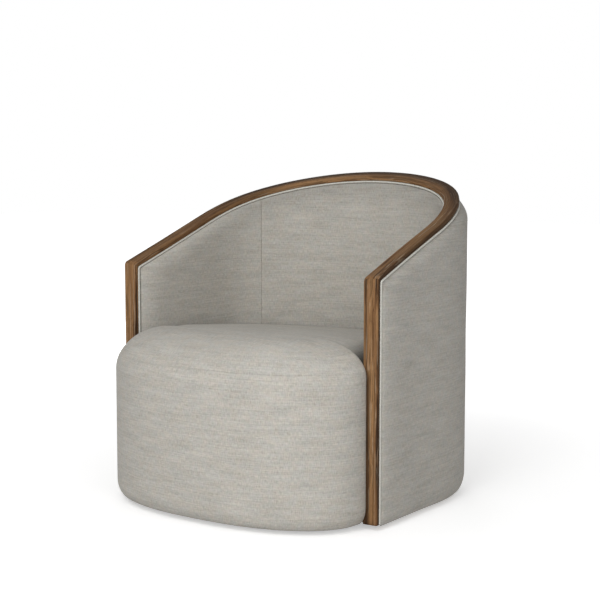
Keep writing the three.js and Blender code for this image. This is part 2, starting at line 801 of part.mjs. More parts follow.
function piping(across, bottom) {
  const path = pipingPath(across, bottom);
  const sides = 6;
  const rings = path.map((point, i) => {
    const ahead = path[Math.min(i + 1, path.length - 1)].clone().sub(point).normalize();
    const behind = point.clone().sub(path[Math.max(i - 1, 0)]).normalize();
    const tangent = ahead.add(behind).normalize();
    const away = new THREE.Vector3(point.x, point.y - archCentreOffset, 0).normalize();
    const side = new THREE.Vector3().crossVectors(tangent, away).normalize();
    const face = new THREE.Vector3().crossVectors(side, tangent);
    return steps(sides).slice(1).map((share) => {
      const angle = 2 * Math.PI * share;
      const spoke = face.clone().multiplyScalar(Math.cos(angle)).addScaledVector(side, Math.sin(angle));
      return point.clone().addScaledVector(spoke, pipingRadius).toArray();
    });
  });
  const indices = [];
  for (let i = 0; i + 1 < rings.length; i += 1) {
    indices.push(...ringIndices(sides, i * sides, (i + 1) * sides));
  }
  const end = (rings.length - 1) * sides;
  for (let i = 1; i + 1 < sides; i += 1) {
    indices.push(0, i + 1, i, end, end + i, end + i + 1);
  }
  return closedBody(rings.flat(), indices);
}

function buildPiping() {
  add("piping_outer", piping(0, postBottom), "welt");
  add("piping_inner", piping(trimWidth, foamBottom), "welt");
}

// Oak band: the bent rail, two posts mitred to it, and the loose tenons in the mitres
function railPoint(distance, [across, depth]) {
  const atEnd = Math.abs(distance) >= pathLength;
  const place = atEnd ? Math.sign(distance) * (pathLength - depth) : distance;
  const drop = (depth / trimThickness) * railDrop(place);
  return wallPlace(place, [across, railTop(place, across) - drop]);
}

function trimPost() {
  const section = trimSection();
  const top = section.map((point) => railPoint(pathLength, point));
  const upper = top.map(([x, y, z]) => [x, y, z - 2 * fitGap]);
  const lower = top.map(([x, y]) => [x, y, postBottom]);
  const count = section.length;
  const indices = [
    ...ringIndices(count, 0, count), ...capIndices(lower, 0).reverse(), ...capIndices(upper, count),
  ];
  return closedBody([...lower, ...upper], indices);
}

// Where the loose tenon crosses the mitre, with its width across the band
function mitrePlace() {
  const outer = new THREE.Vector3(...railPoint(pathLength, [trimWidth / 2, 0]));
  const inner = new THREE.Vector3(...railPoint(pathLength, [trimWidth / 2, trimThickness]));
  const edge = new THREE.Vector3(...railPoint(pathLength, [0, 0]));
  const across = edge.sub(outer).normalize();
  const normal = new THREE.Vector3().crossVectors(across, inner.clone().sub(outer)).normalize();
  const along = new THREE.Vector3().crossVectors(normal, across);
  const turn = new THREE.Matrix4().makeBasis(across, along, normal);
  return turn.setPosition(outer.lerp(inner, 1 / 2));
}

function tenon(growth) {
  const radius = tenonThickness / 2 + growth;
  const middle = (tenonWidth - tenonThickness) / 2;
  const outline = [
    ...quarter([middle, 0], [radius, radius], hemSteps, -90, 90),
    ...quarter([-middle, 0], [radius, radius], hemSteps, 90, 270),
  ];
  return prism(outline, -tenonLength / 2 - growth, tenonLength / 2 + growth);
}

function buildTrim() {
  const right = placed(tenon(0), mitrePlace());
  const mortise = placed(tenon(fitGap), mitrePlace());
  add("mitre_tenon_right", right, "beech");
  add("mitre_tenon_left", mirrored(right), "beech");

  const rail = sweep(wallPlaces(-pathLength, pathLength), () => trimSection(), railPoint);
  add("trim_rail", without(rail, mortise, mirrored(mortise)), "oak");
  const post = without(trimPost(), mortise);
  add("trim_post_right", post, "oak");
  add("trim_post_left", mirrored(post), "oak");
}

// Seat: a drum whose front stands ahead of the posts and whose rim rolls down beside the wall
function seatOutline() {
  const nose = noseTurns.map((turn) => nosePlace(turn, [0, 0]));
  const corner = trimHalfWidth + postSplay - trimWidth - postFoldGap;
  const behindPost = postBack + 2 * fitGap;
  const end = wallEnd + seatSideOverrun;
  const side = wallPlaces(-end, end, plainGrid).map((place) => wallPlace(place, [seatFace, 0]));
  return [
    ...nose, [-corner, postPlane], [-corner, behindPost],
    ...side, [corner, behindPost], [corner, postPlane],
  ].map(([x, y]) => [x, y]);
}

function shoulderAt(y) {
  const ahead = smooth((postPlane - y) / noseBlend);
  const behind = smooth((y - postPlane) / armBlend);
  const mix = (nose, arm, back) => (y < postPlane
    ? THREE.MathUtils.lerp(arm, nose, ahead)
    : THREE.MathUtils.lerp(arm, back, behind));
  return {
    reach: mix(noseShoulderReach, armShoulderReach, backShoulderReach),
    drop: mix(noseShoulderDrop, armShoulderDrop, backShoulderDrop),
  };
}

// How much of the fall towards the back the seat has made
function fallAt(y) {
  const seatBack = archCentreOffset + archDepth - seatFace;
  return Math.max(0, (y - postPlane) / (seatBack - postPlane));
}

const shoulderAngles = [0, 18, 38, 60, 90];
const crownShares = [0.2, 0.45, 0.7];
const seatCentre = (archCentreOffset + postPlane) / 2;

// The drum, drawn in towards the line between the nose's centre and the arch's, up to the crown
function seatBody(inset, bottom, hem) {
  const outline = seatOutline();
  const rim = seatHeight - seatCrown;
  const crown = (inwardShare) => rim - inset + seatCrown * (1 - (1 - inwardShare) ** 2);
  const ring = (pointAt, fall = 0) => outline.map(([x, y]) => {
    const centre = THREE.MathUtils.clamp(y, postPlane, archCentreOffset);
    const length = Math.hypot(x, y - centre);
    const { inward, height } = pointAt(y, length);
    const keep = 1 - inward / length;
    const behind = centre + (y - centre) * keep;
    return [x * keep, behind, height - fall * fallAt(behind)];
  });
  const hemRings = (hem ? steps(hemSteps) : [0]).map((share) => ring(() => {
    const angle = (share * Math.PI) / 2;
    return { inward: inset + hem * (1 - Math.sin(angle)), height: bottom + hem * (1 - Math.cos(angle)) };
  }));
  const shoulderRings = shoulderAngles.map((degrees) => ring((y, length) => {
    const angle = THREE.MathUtils.degToRad(degrees);
    const { reach, drop } = shoulderAt(y);
    const inward = reach * (1 - Math.cos(angle));
    return { inward: inset + inward, height: crown(inward / length) - drop * (1 - Math.sin(angle)) };
  }, seatBackFall));
  const crownRings = crownShares.map((share) => ring((y, length) => {
    const part = THREE.MathUtils.lerp(shoulderAt(y).reach / length, 1, share);
    return { inward: THREE.MathUtils.lerp(inset, length, part), height: crown(part) };
  }, seatBackFall));
  const middle = seatHeight - inset - seatBackFall * fallAt(seatCentre);
  return dome([...hemRings, ...shoulderRings, ...crownRings], [0, seatCentre, middle]);
}

function buildSeat() {
  add("seat_foam", seatBody(seatCoverThickness + 2 * fitGap, foamBottom, 0), "foam");
  const apronFoam = () => {
    const radius = noseHemRadius - apronOuter;
    const base = coverClearance + apronOuter;
    const inner = apronMiddle - fitGap;
    return [
      [apronOuter, foamBottom - fitGap], [apronOuter, base + radius],
      ...quarter([apronOuter + radius, base + radius], [-radius, -radius], hemSteps, 0, 90).slice(1),
      [inner + fitGap, base], [inner + fitGap, foamBottom - fitGap],
    ];
  };
  add("apron_foam", sweep(noseTurns, apronFoam, nosePlace), "foam");

  const reach = overallDepth;
  const hollowBottom = coverClearance + seatCoverThickness;
  const hollow = seatBody(seatCoverThickness, hollowBottom, noseHemRadius - seatCoverThickness);
  const mouth = prism(framePlan(frameFace, noseReturn), 0, coverClearance + noseHemRadius);
  const behind = block([-reach, postPlane - fitGap * 2, 0], [reach, reach, skirtBottom]);
  const skin = without(seatBody(0, coverClearance, noseHemRadius), hollow, mouth, behind);
  add("seat_cover", skin, "linen");

  const dust = prism(
    framePlan(frameFace + dustCoverInset, noseReturn + dustCoverInset),
    ribBottom - fitGap - dustCoverThickness, ribBottom - fitGap,
  );
  add("dust_cover", without(dust, disc(wellRadius, 0, backHeight, roundSteps)), "cambric");
}

buildBase();
buildBallCage();
buildRibs();
buildWallFrame();
buildApron();
buildWebbing();
buildWallCovers();
buildPiping();
buildTrim();
buildSeat();

export default group;
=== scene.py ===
"""Looks of a swivel barrel chair: an oak band round an upholstered wall, and a drum-shaped seat.

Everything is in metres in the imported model's frame: +Z up, the sitter looks along -Y, and the origin lies
on the floor under the swivel. The wall is a profile carried along a U-shaped plan curve, and each piece of
it is a function of two parameters: the distance along that curve from the middle of the back, and the
distance round the profile.
"""

from __future__ import annotations

import json
import logging
import math
from collections.abc import Sequence
from dataclasses import dataclass, field
from enum import Enum
from typing import Any

import bpy
import numpy as np
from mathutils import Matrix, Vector

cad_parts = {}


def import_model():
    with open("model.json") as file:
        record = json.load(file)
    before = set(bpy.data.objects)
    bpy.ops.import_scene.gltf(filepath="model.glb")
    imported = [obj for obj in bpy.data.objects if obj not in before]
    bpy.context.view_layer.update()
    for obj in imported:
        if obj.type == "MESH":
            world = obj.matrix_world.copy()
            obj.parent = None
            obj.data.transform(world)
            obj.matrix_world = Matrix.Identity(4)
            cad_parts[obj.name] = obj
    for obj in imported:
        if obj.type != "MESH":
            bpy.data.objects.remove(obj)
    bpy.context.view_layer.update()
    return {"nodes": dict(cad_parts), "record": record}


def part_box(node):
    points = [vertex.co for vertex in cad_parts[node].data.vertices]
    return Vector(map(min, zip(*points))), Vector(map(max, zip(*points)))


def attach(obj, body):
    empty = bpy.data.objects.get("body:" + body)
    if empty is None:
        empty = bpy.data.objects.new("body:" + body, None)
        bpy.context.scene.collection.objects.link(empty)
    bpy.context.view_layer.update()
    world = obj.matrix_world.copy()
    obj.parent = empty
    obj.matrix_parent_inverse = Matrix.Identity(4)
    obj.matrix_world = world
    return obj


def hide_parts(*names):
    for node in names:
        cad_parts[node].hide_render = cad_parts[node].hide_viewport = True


LOG = logging.getLogger("barrel_chair")
MM = 0.001
BACK_HEIGHT = 795 * MM
POST_PLANE = -211 * MM
# Each swell's radians per metre along and up the cloth, its phase, and how far and how fast it bends
SWELLS = ((23, 0, 1.1, 2.0, 0, 7), (0, 31, -0.4, 1.7, 11, 0), (17, 19, 2.3, 0.0, 0, 0))
Array = np.ndarray
Socket = bpy.types.NodeSocket
Value = Any
Faces = list[Sequence[int]]
Inputs = Sequence[Value] | dict[str | int, Value]
Stops = Sequence[tuple[float, str]]


class Slot(Enum):
    """The record's material slots."""

    OAK = "oak"
    LINEN = "linen"
    WELT = "welt"
    FOAM = "foam"
    PLYWOOD = "plywood"
    BEECH = "beech"
    BLACK_PLY = "black_ply"
    WEBBING = "webbing"
    CAMBRIC = "cambric"
    STEEL = "steel"
    NYLON = "nylon"


class Side(Enum):
    """Which half of the chair a mirrored piece belongs to, with the sign of its x."""

    LEFT = -1
    RIGHT = 1


# Colour and mesh helpers


def linear(hex_colour: str) -> tuple[float, float, float, float]:
    """Turns an sRGB colour to the linear one that a shader takes.

    Each channel c of 0..1 becomes c / 12.92 below 0.04045 and ((c + 0.055) / 1.055) ^ 2.4 above it.

    Args:
        hex_colour: Six hex digits, red first.

    Returns:
        Linear red, green, blue and an alpha of 1.
    """
    channels = np.array([int(hex_colour[i : i + 2], 16) / 255 for i in (0, 2, 4)])
    curved = np.where(channels <= 0.04045, channels / 12.92, ((channels + 0.055) / 1.055) ** 2.4)
    return (*curved.tolist(), 1.0)


def smooth_step(value: Array) -> Array:
    """Eases 0..1 with 3 t^2 - 2 t^3, flat at both ends."""
    t = np.clip(value, 0.0, 1.0)
    return t * t * (3 - 2 * t)


def quarter_arc(count: int) -> tuple[Array, Array]:
    """Sine and cosine of count + 1 angles from 0 to a right angle."""
    angle = np.linspace(0.0, math.pi / 2, count + 1)
    return np.sin(angle), np.cos(angle)


def running_length(points: Array) -> Array:
    """Length along a polyline up to each of its points: the running sum of the steps between them.

    Args:
        points: Corners, with x, y (and z) on the last axis and the polyline on the one before it.

    Returns:
        Lengths, from 0.
    """
    steps = np.linalg.norm(np.diff(points, axis=-2), axis=-1)
    start = np.zeros((*steps.shape[:-1], 1))
    return np.concatenate([start, np.cumsum(steps, axis=-1)], axis=-1)


def tube_faces(rings: int, count: int, closed_ends: bool = True) -> Faces:
    """Faces of rings of count points each, joined ring to ring, with a flat face on either end.

    Args:
        rings: How many rings there are.
        count: Points in each ring, which close on themselves.
        closed_ends: Whether the first and last ring get a cap.

    Returns:
        Quads, and the two caps.
    """
    start, point = np.meshgrid(np.arange(rings - 1) * count, np.arange(count), indexing="ij")
    after = (point + 1) % count
    corners = [start + point, start + after, start + count + after, start + count + point]
    quads = np.stack(corners, axis=-1).reshape(-1, 4).tolist()
    if closed_ends:
        quads.append(list(range(count))[::-1])
        quads.append([(rings - 1) * count + i for i in range(count)])
    return quads


def signed_volume(points: Array, faces: Faces) -> float:
    """Six times the enclosed volume: the sum of a . (b x c) over the triangles that fan out each face.

    Args:
        points: Corners.
        faces: Corner numbers of each face.

    Returns:
        A number that is positive when the faces point outwards.
    """
    fans = [(f[0], f[i], f[i + 1]) for f in faces for i in range(1, len(f) - 1)]
    a, b, c = (points[np.array(fans)[:, k]] for k in range(3))
    return float(np.einsum("ij,ij->", a, np.cross(b, c)))


def make_mesh(name: str, points: Array, faces: Faces, layers: dict[str, Array]) -> bpy.types.Object:
    """Makes a smooth-shaded object at the origin from whole arrays, with its faces pointing out.

    Args:
        name: The piece's name.
        points: Corners, in metres in the row frame.
        faces: Corner numbers of each face.
        layers: Point attributes by name, of one or three numbers a point.

    Returns:
        The linked object.
    """
    if signed_volume(points, faces) < 0:
        faces = [tuple(reversed(face)) for face in faces]
    mesh = bpy.data.meshes.new(name)
    mesh.from_pydata(points.tolist(), [], faces)
    mesh.polygons.foreach_set("use_smooth", np.ones(len(faces), bool))
    for layer, values in layers.items():
        kind = "FLOAT" if values.ndim == 1 else "FLOAT_VECTOR"
        attribute = mesh.attributes.new(layer, kind, "POINT")
        key = "value" if kind == "FLOAT" else "vector"
        attribute.data.foreach_set(key, values.astype(np.float32).ravel())
    mesh.update()
    piece = bpy.data.objects.new(name, mesh)
    bpy.context.scene.collection.objects.link(piece)
    return piece


def unevenness(place: Array, height: Array, size: float) -> Array:
    """A slow swell of hand-laid padding: the mean of three sine waves that cross, two of them bent.

    Args:
        place: Distance along the cloth, in metres.
        height: Distance up the cloth, in metres.
        size: The largest swell, in metres.

    Returns:
        How far each point stands out, between -size and size.
    """
    waves = sum(
        np.sin(along * place + up * height + phase + bend * np.sin(bend_along * place + bend_up * height))
        for along, up, phase, bend, bend_along, bend_up in SWELLS
    )
    return size * waves / len(SWELLS)


def hand_over(piece: bpy.types.Object, body: str, slot: Slot, material: bpy.types.Material,
              *nodes: str) -> None:
    """Gives a new piece its finish and its body, and hides the CAD nodes that it stands for.

    Args:
        piece: The finished object.
        body: The CAD body that it rides on.
        slot: The record's slot of its finish; not used.
        material: Its material.
        *nodes: The CAD nodes that it replaces.
    """
    piece.data.materials.append(material)
    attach(piece, body)
    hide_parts(*nodes)
    count = len(piece.data.vertices)
    LOG.info("%s: %d vertices on %s, for %s", piece.name, count, body, ", ".join(nodes))


# Shader helpers


@dataclass
class NodeSheet:
    """A node tree that is filled node by node."""

    tree: bpy.types.NodeTree

    def add(self, kind: str, inputs: Inputs = (), output: str | int = 0, stops: Stops = (),
            **settings: Value) -> Socket | None:
        """Adds one node, with its settings and links.

        Args:
            kind: The node's class, without its ShaderNode prefix.
            inputs: Values, or sockets to link, in the node's own order or by name or number.
            output: Name or number of the output to hand back.
            stops: Places and sRGB colours of a colour band, for the node that has one.
            **settings: The node's own properties.

        Returns:
            That output, or nothing for a node without outputs.
        """
        node = self.tree.nodes.new("ShaderNode" + kind)
        for key, value in settings.items():
            setattr(node, key, value)
        for key, value in (inputs if isinstance(inputs, dict) else dict(enumerate(inputs))).items():
            if isinstance(value, bpy.types.NodeSocket):
                self.tree.links.new(value, node.inputs[key])
            else:
                node.inputs[key].default_value = value
        for _ in stops[2:]:
            node.color_ramp.elements.new(1.0)
        for number, (position, colour) in enumerate(stops):
            node.color_ramp.elements[number].position = position
            node.color_ramp.elements[number].color = linear(colour)
        return node.outputs[output] if len(node.outputs) else None

    def clouds(self, place: Socket, grain: tuple[float, float, float], detail: float = 2.0) -> Socket:
        """Soft noise of 0..1 at a place, whose grains measure so many metres along each of its axes.

        Args:
            place: Where on the piece the pattern is read.
            grain: Size of a grain along each axis, in metres.
            detail: How many finer octaves are laid over it.

        Returns:
            The noise.
        """
        where = self.add("VectorMath", (place, tuple(1 / size for size in grain)), operation="MULTIPLY")
        return self.add("TexNoise", {"Vector": where, "Scale": 1.0, "Detail": detail}, "Fac")

    def weighted_sum(self, patterns: Sequence[Socket], shares: Sequence[float]) -> Socket:
        """Adds up several patterns, each times its own share.

        Args:
            patterns: Numbers to add.
            shares: What each of them is multiplied by.

        Returns:
            Their sum.
        """
        parts = [self.add("Math", pair, operation="MULTIPLY") for pair in zip(patterns, shares)]
        total = parts[0]
        for part in parts[1:]:
            total = self.add("Math", (total, part), operation="ADD")
        return total

    def laid_on(self, colour: Socket, over: str, share: Value, strength: Value = 1.0) -> Socket:
        """Lays one more coat on a colour, where it covers a share times its strength.

        Args:
            colour: What the coat is laid on.
            over: The coat's sRGB colour.
            share: Where it covers, as 0..1.
            strength: How much of the colour it hides there.

        Returns:
            The colour with its coat.
        """
        covered = self.add("Math", (share, strength), operation="MULTIPLY")
        return self.add("Mix", {0: covered, 6: colour, 7: linear(over)}, 2, data_type="RGBA")


@dataclass(frozen=True)
class Finish:
    """What every finish has: a name and the shader's plain values."""

    name: str
    roughness: float
    metallic: float = 0.0
    specular: float = 0.5
    sheen: float = 0.0
    sheen_roughness: float = 0.5

    def colours(self, sheet: NodeSheet) -> tuple[Socket, Socket]:
        """Colour, and the relief's normal, worked out by the finish itself."""
        raise NotImplementedError

    def build(self) -> bpy.types.Material:
        """Makes the material.

        Returns:
            A material whose Principled shader takes this finish's colour and relief.
        """
        material = bpy.data.materials.new(self.name)
        material.use_nodes = True
        sheet = NodeSheet(material.node_tree)
        shader = material.node_tree.nodes["Principled BSDF"]
        for key, socket in zip(("Base Color", "Normal"), self.colours(sheet)):
            sheet.tree.links.new(socket, shader.inputs[key])
        shader.inputs["Roughness"].default_value = self.roughness
        shader.inputs["Metallic"].default_value = self.metallic
        shader.inputs["Specular IOR Level"].default_value = self.specular
        shader.inputs["Sheen Weight"].default_value = self.sheen
        shader.inputs["Sheen Roughness"].default_value = self.sheen_roughness
        return material


@dataclass(frozen=True)
class WovenLinen(Finish):
    """Plain-woven linen blend with thick and thin yarns, piece-dyed greige.

    The eye gets a fine crossed grain of upright and level yarns, a few darker slubs along the weft, faint
    level bands where the weft was beaten closer, and small flecks that lean cool or warm, pink or green.
    Real yarns are about 0.6 mm wide, too fine for the render, so the drawn ones are three times as wide.
    Beside a seam the cloth folds in, and the shade of that fold is painted as a thin dark line. Painted shade
    also darkens the cloth under the band round the back, along the seat's fold and in the crevice by the
    wall.
    """

    pale: str = "CAC6BD"
    middle: str = "BBB7AF"
    dark: str = "A8A49B"
    cool: str = "FBFDFF"
    warm: str = "FFFDFB"
    pink: str = "FDFBFD"
    green: str = "FBFDFB"
    # Colour of the painted shade.
    painted_shade_colour: str = "3E3B36"
    yarn_length: float = 11 * MM
    yarn_width: float = 1.9 * MM
    band_length: float = 90 * MM
    band_height: float = 22 * MM
    slub_length: float = 90 * MM
    slub_height: float = 3.4 * MM
    slub_range: tuple[float, float] = (0.35, 0.65)
    slub_tone: float = 0.04
    hue_size: float = 18 * MM
    fleck_size: float = 9 * MM
    tone_shares: tuple[float, ...] = (0.34, 0.44, 0.22, -1.0)
    height_shares: tuple[float, ...] = (0.34, 0.44, 1.5, 2.0)
    tone_stops: tuple[float, ...] = (0.36, 0.5, 0.64)
    hue_stops: tuple[float, float] = (0.4, 0.6)
    relief: float = 1.0 * MM

    def yarns(self, sheet: NodeSheet, place: Socket) -> list[Socket]:
        """The cloth's tone and height at a place whose x runs along the weft and y along the warp.

        Both are sums of weft, warp, band and slub, each by its own share.

        Args:
            sheet: The tree to add to.
            place: Metres along and up the cloth.

        Returns:
            Tone, dark to pale, and height.
        """
        weft = sheet.clouds(place, (self.yarn_length, self.yarn_width, 1.0))
        warp = sheet.clouds(place, (self.yarn_width, self.yarn_length, 1.0))
        band = sheet.clouds(place, (self.band_length, self.band_height, 1.0), 3.0)
        slub = sheet.clouds(place, (self.slub_length, self.slub_height, 1.0), 1.0)
        slub = sheet.add("MapRange", (slub, *self.slub_range, -self.slub_tone, self.slub_tone))
        patterns = (weft, warp, band, slub)
        return [sheet.weighted_sum(patterns, shares) for shares in (self.tone_shares, self.height_shares)]

    def colours(self, sheet: NodeSheet) -> tuple[Socket, Socket]:
        """Tone from the wall's cloth, turning into the level cloth where the piece lies flat, with painted
        shade.

        Args:
            sheet: The tree to add to.

        Returns:
            Colour and the relief's normal.
        """
        wall = sheet.add("Attribute", output="Vector", attribute_name="cloth")
        level = sheet.add("TexCoord", output="Object")
        share = sheet.add("Attribute", output="Fac", attribute_name="level")
        painted_shade = sheet.add("Attribute", output="Fac", attribute_name="painted_shade")
        tone, height = [
            sheet.add("Mix", {0: share, 2: on_wall, 3: on_level}, data_type="FLOAT")
            for on_wall, on_level in zip(self.yarns(sheet, wall), self.yarns(sheet, level))
        ]
        dyes = zip(self.tone_stops, (self.dark, self.middle, self.pale))
        colour = sheet.add("ValToRGB", (tone,), stops=list(dyes))
        hue = sheet.clouds(level, (self.hue_size,) * 3, 3.0)
        fleck = sheet.clouds(wall, (self.fleck_size,) * 3)
        for lean, tints in ((hue, (self.cool, self.warm)), (fleck, (self.pink, self.green))):
            tint = sheet.add("ValToRGB", (lean,), stops=list(zip(self.hue_stops, tints)))
            pair = {0: 1.0, 6: colour, 7: tint}
            colour = sheet.add("Mix", pair, 2, data_type="RGBA", blend_type="MULTIPLY")
        # Painted shade: beside seams, under the band round the back, along the seat's fold and in its
        # crevice.
        colour = sheet.laid_on(colour, self.painted_shade_colour, painted_shade)
        return colour, sheet.add("Bump", {"Height": height, "Distance": self.relief})


@dataclass(frozen=True)
class BiasPiping(Finish):
    """The same linen cut on the bias and sewn tight round a cord, which stretches it paler.

    The eye gets slanted threads with a little fuzz. They are drawn at twice their real spacing, to show.
    """

    pale: str = "DAD8D0"
    dark: str = "C0BEB4"
    stops: tuple[float, float] = (0.3, 0.65)
    thread_spacing: float = 1.2 * MM
    thread_share: float = 0.12
    fuzz_grain: tuple[float, float, float] = (6 * MM, 2 * MM, 1.0)
    relief: float = 0.25 * MM

    def colours(self, sheet: NodeSheet) -> tuple[Socket, Socket]:
        """Slanted threads: a sine of the length along the cord plus the way round it.

        Args:
            sheet: The tree to add to.

        Returns:
            Colour and the relief's normal.
        """
        place = sheet.add("Attribute", output="Vector", attribute_name="cloth")
        along = sheet.add("SeparateXYZ", (place,))
        slant = sheet.add("Math", (along, along.node.outputs[1]), operation="ADD")
        turns = sheet.add("Math", (slant, 2 * math.pi / self.thread_spacing), operation="MULTIPLY")
        thread = sheet.add("Math", (turns,), operation="SINE")
        tone = sheet.weighted_sum((thread, sheet.clouds(place, self.fuzz_grain)), (self.thread_share, 1.0))
        colour = sheet.add("ValToRGB", (tone,), stops=list(zip(self.stops, (self.dark, self.pale))))
        return colour, sheet.add("Bump", {"Height": tone, "Distance": self.relief})


@dataclass(frozen=True)
class LimedOak(Finish):
    """Oak, wire-brushed, stained brown and limed: pale wax stays in the pores and in some soft grain.

    The eye gets a warm brown with darker grain lines, a few wavering greyish streaks, fine dark pores along
    the grain, and outer sides and edges that are darker. Painted shade darkens the rail's top round the back
    and the posts' inner edges beside the seat, and a painted highlight lightens the rail's inner half behind
    the back. Real pores are about 0.3 mm wide, too fine for the render, and are drawn wider. Each grain size
    is a length along the board and a width across it.
    """

    deep: str = "35261A"
    brown: str = "7C5A3C"
    tan: str = "98744F"
    lime: str = "B7A68F"
    # Colour of the painted highlight on the rail's inner half behind the back.
    highlight_tan: str = "B98F66"
    drift_grain: tuple[float, float] = (1 / 7, 1 / 30)
    waver: float = 16 * MM
    band_grain: tuple[float, float] = (420 * MM, 11 * MM)
    line_grain: tuple[float, float] = (260 * MM, 2.3 * MM)
    streak_grain: tuple[float, float] = (190 * MM, 3.2 * MM)
    pore_grain: tuple[float, float] = (9 * MM, 0.8 * MM)
    band_stops: tuple[float, ...] = (0.3, 0.42, 0.64)
    line_stops: tuple[float, float] = (0.36, 0.5)
    streak_stops: tuple[float, float] = (0.57, 0.72)
    pore_stops: tuple[float, float] = (0.34, 0.44)
    highlight_strength: float = 0.35
    line_strength: float = 0.6
    lime_strength: float = 0.6
    lime_lost_to_darkening: float = 0.45
    pore_strength: float = 0.35
    pore_depth: float = 0.6
    relief: float = 0.25 * MM

    def colours(self, sheet: NodeSheet) -> tuple[Socket, Socket]:
        """Brown ground with stain, painted shade and highlight, then dark grain lines, limed streaks and
        pores.

        Args:
            sheet: The tree to add to.

        Returns:
            Colour and the relief's normal.
        """
        grain = sheet.add("Attribute", output="Vector", attribute_name="grain")
        painted_highlight = sheet.add("Attribute", output="Fac", attribute_name="painted_highlight")
        stain = sheet.add("Attribute", output="Fac", attribute_name="stain")
        drift = sheet.clouds(grain, (*self.drift_grain, self.drift_grain[1]))
        drift = sheet.add("Math", (drift, 0.5), operation="SUBTRACT")
        shift = sheet.add("Math", (drift, self.waver), operation="MULTIPLY")
        shift = sheet.add("CombineXYZ", {1: shift, 2: shift})
        place = sheet.add("VectorMath", (grain, shift), operation="ADD")
        sizes = (self.band_grain, self.line_grain, self.streak_grain, self.pore_grain)
        band, line, streak, pore = [
            sheet.clouds(place, (*size, size[1]), detail) for size, detail in zip(sizes, (2.0, 3.0, 4.0, 2.0))
        ]
        lines, limed, pores = [
            sheet.add("ValToRGB", (noise,), stops=list(zip(stops, ends)))
            for noise, stops, ends in (
                (line, self.line_stops, ("FFFFFF", "000000")),
                (streak, self.streak_stops, ("000000", "FFFFFF")),
                (pore, self.pore_stops, ("FFFFFF", "000000")),
            )
        ]
        browns = zip(self.band_stops, (self.deep, self.brown, self.tan))
        colour = sheet.add("ValToRGB", (band,), stops=list(browns))
        # Less lime where stain and painted shade darken the band.
        lost = sheet.add("Math", (stain, self.lime_lost_to_darkening), operation="MULTIPLY")
        held = sheet.add("Math", (self.lime_strength, lost), operation="SUBTRACT", use_clamp=True)
        # Stain and the darker outer side and edge, with painted shade on the rail's top round the back and on
        # the posts beside the seat.
        colour = sheet.laid_on(colour, self.deep, stain)
        # Painted highlight on the rail's inner half behind the back.
        colour = sheet.laid_on(colour, self.highlight_tan, painted_highlight, self.highlight_strength)
        colour = sheet.laid_on(colour, self.deep, lines, self.line_strength)
        colour = sheet.laid_on(colour, self.lime, limed, held)
        colour = sheet.laid_on(colour, self.deep, pores, self.pore_strength)
        height = sheet.weighted_sum((line, pores), (1.0, -self.pore_depth))
        return colour, sheet.add("Bump", {"Height": height, "Distance": self.relief})


@dataclass(frozen=True)
class SawnWood(Finish):
    """Raw timber or plywood as the saw left it: pale, dry, with soft grain along one axis and glue lines."""

    pale: str = "D8BC8C"
    dark: str = "A9845A"
    stops: tuple[float, float] = (0.35, 0.65)
    grain_length: float = 120 * MM
    grain_width: float = 2.5 * MM
    ply: float = 0.0
    ply_share: float = 0.12
    relief: float = 0.15 * MM

    def colours(self, sheet: NodeSheet) -> tuple[Socket, Socket]:
        """Stretched noise, crossed on plywood by level stripes a veneer apart.

        Args:
            sheet: The tree to add to.

        Returns:
            Colour and the relief's normal.
        """
        place = sheet.add("TexCoord", output="Object")
        grain = sheet.clouds(place, (self.grain_length, self.grain_width, self.grain_width), 3.0)
        if self.ply:
            up = sheet.add("SeparateXYZ", (place,), 2)
            turns = sheet.add("Math", (up, math.pi / self.ply), operation="MULTIPLY")
            stripe = sheet.add("Math", (turns,), operation="SINE")
            grain = sheet.weighted_sum((stripe, grain), (self.ply_share, 1.0))
        colour = sheet.add("ValToRGB", (grain,), stops=list(zip(self.stops, (self.dark, self.pale))))
        return colour, sheet.add("Bump", {"Height": grain, "Distance": self.relief})


@dataclass(frozen=True)
class Mottled(Finish):
    """A plain sheet, casting or paint whose colour drifts a little: zinc plate, moulded nylon, dust cloth."""

    pale: str = "B5B7B9"
    dark: str = "85878A"
    stops: tuple[float, float] = (0.35, 0.65)
    grit: float = 1.5 * MM
    relief: float = 0.05 * MM

    def colours(self, sheet: NodeSheet) -> tuple[Socket, Socket]:
        """Fine even noise, the size of the finish's grit.

        Args:
            sheet: The tree to add to.

        Returns:
            Colour and the relief's normal.
        """
        place = sheet.add("TexCoord", output="Object")
        grit = sheet.clouds(place, (self.grit,) * 3, 3.0)
        colour = sheet.add("ValToRGB", (grit,), stops=list(zip(self.stops, (self.dark, self.pale))))
        return colour, sheet.add("Bump", {"Height": grit, "Distance": self.relief})


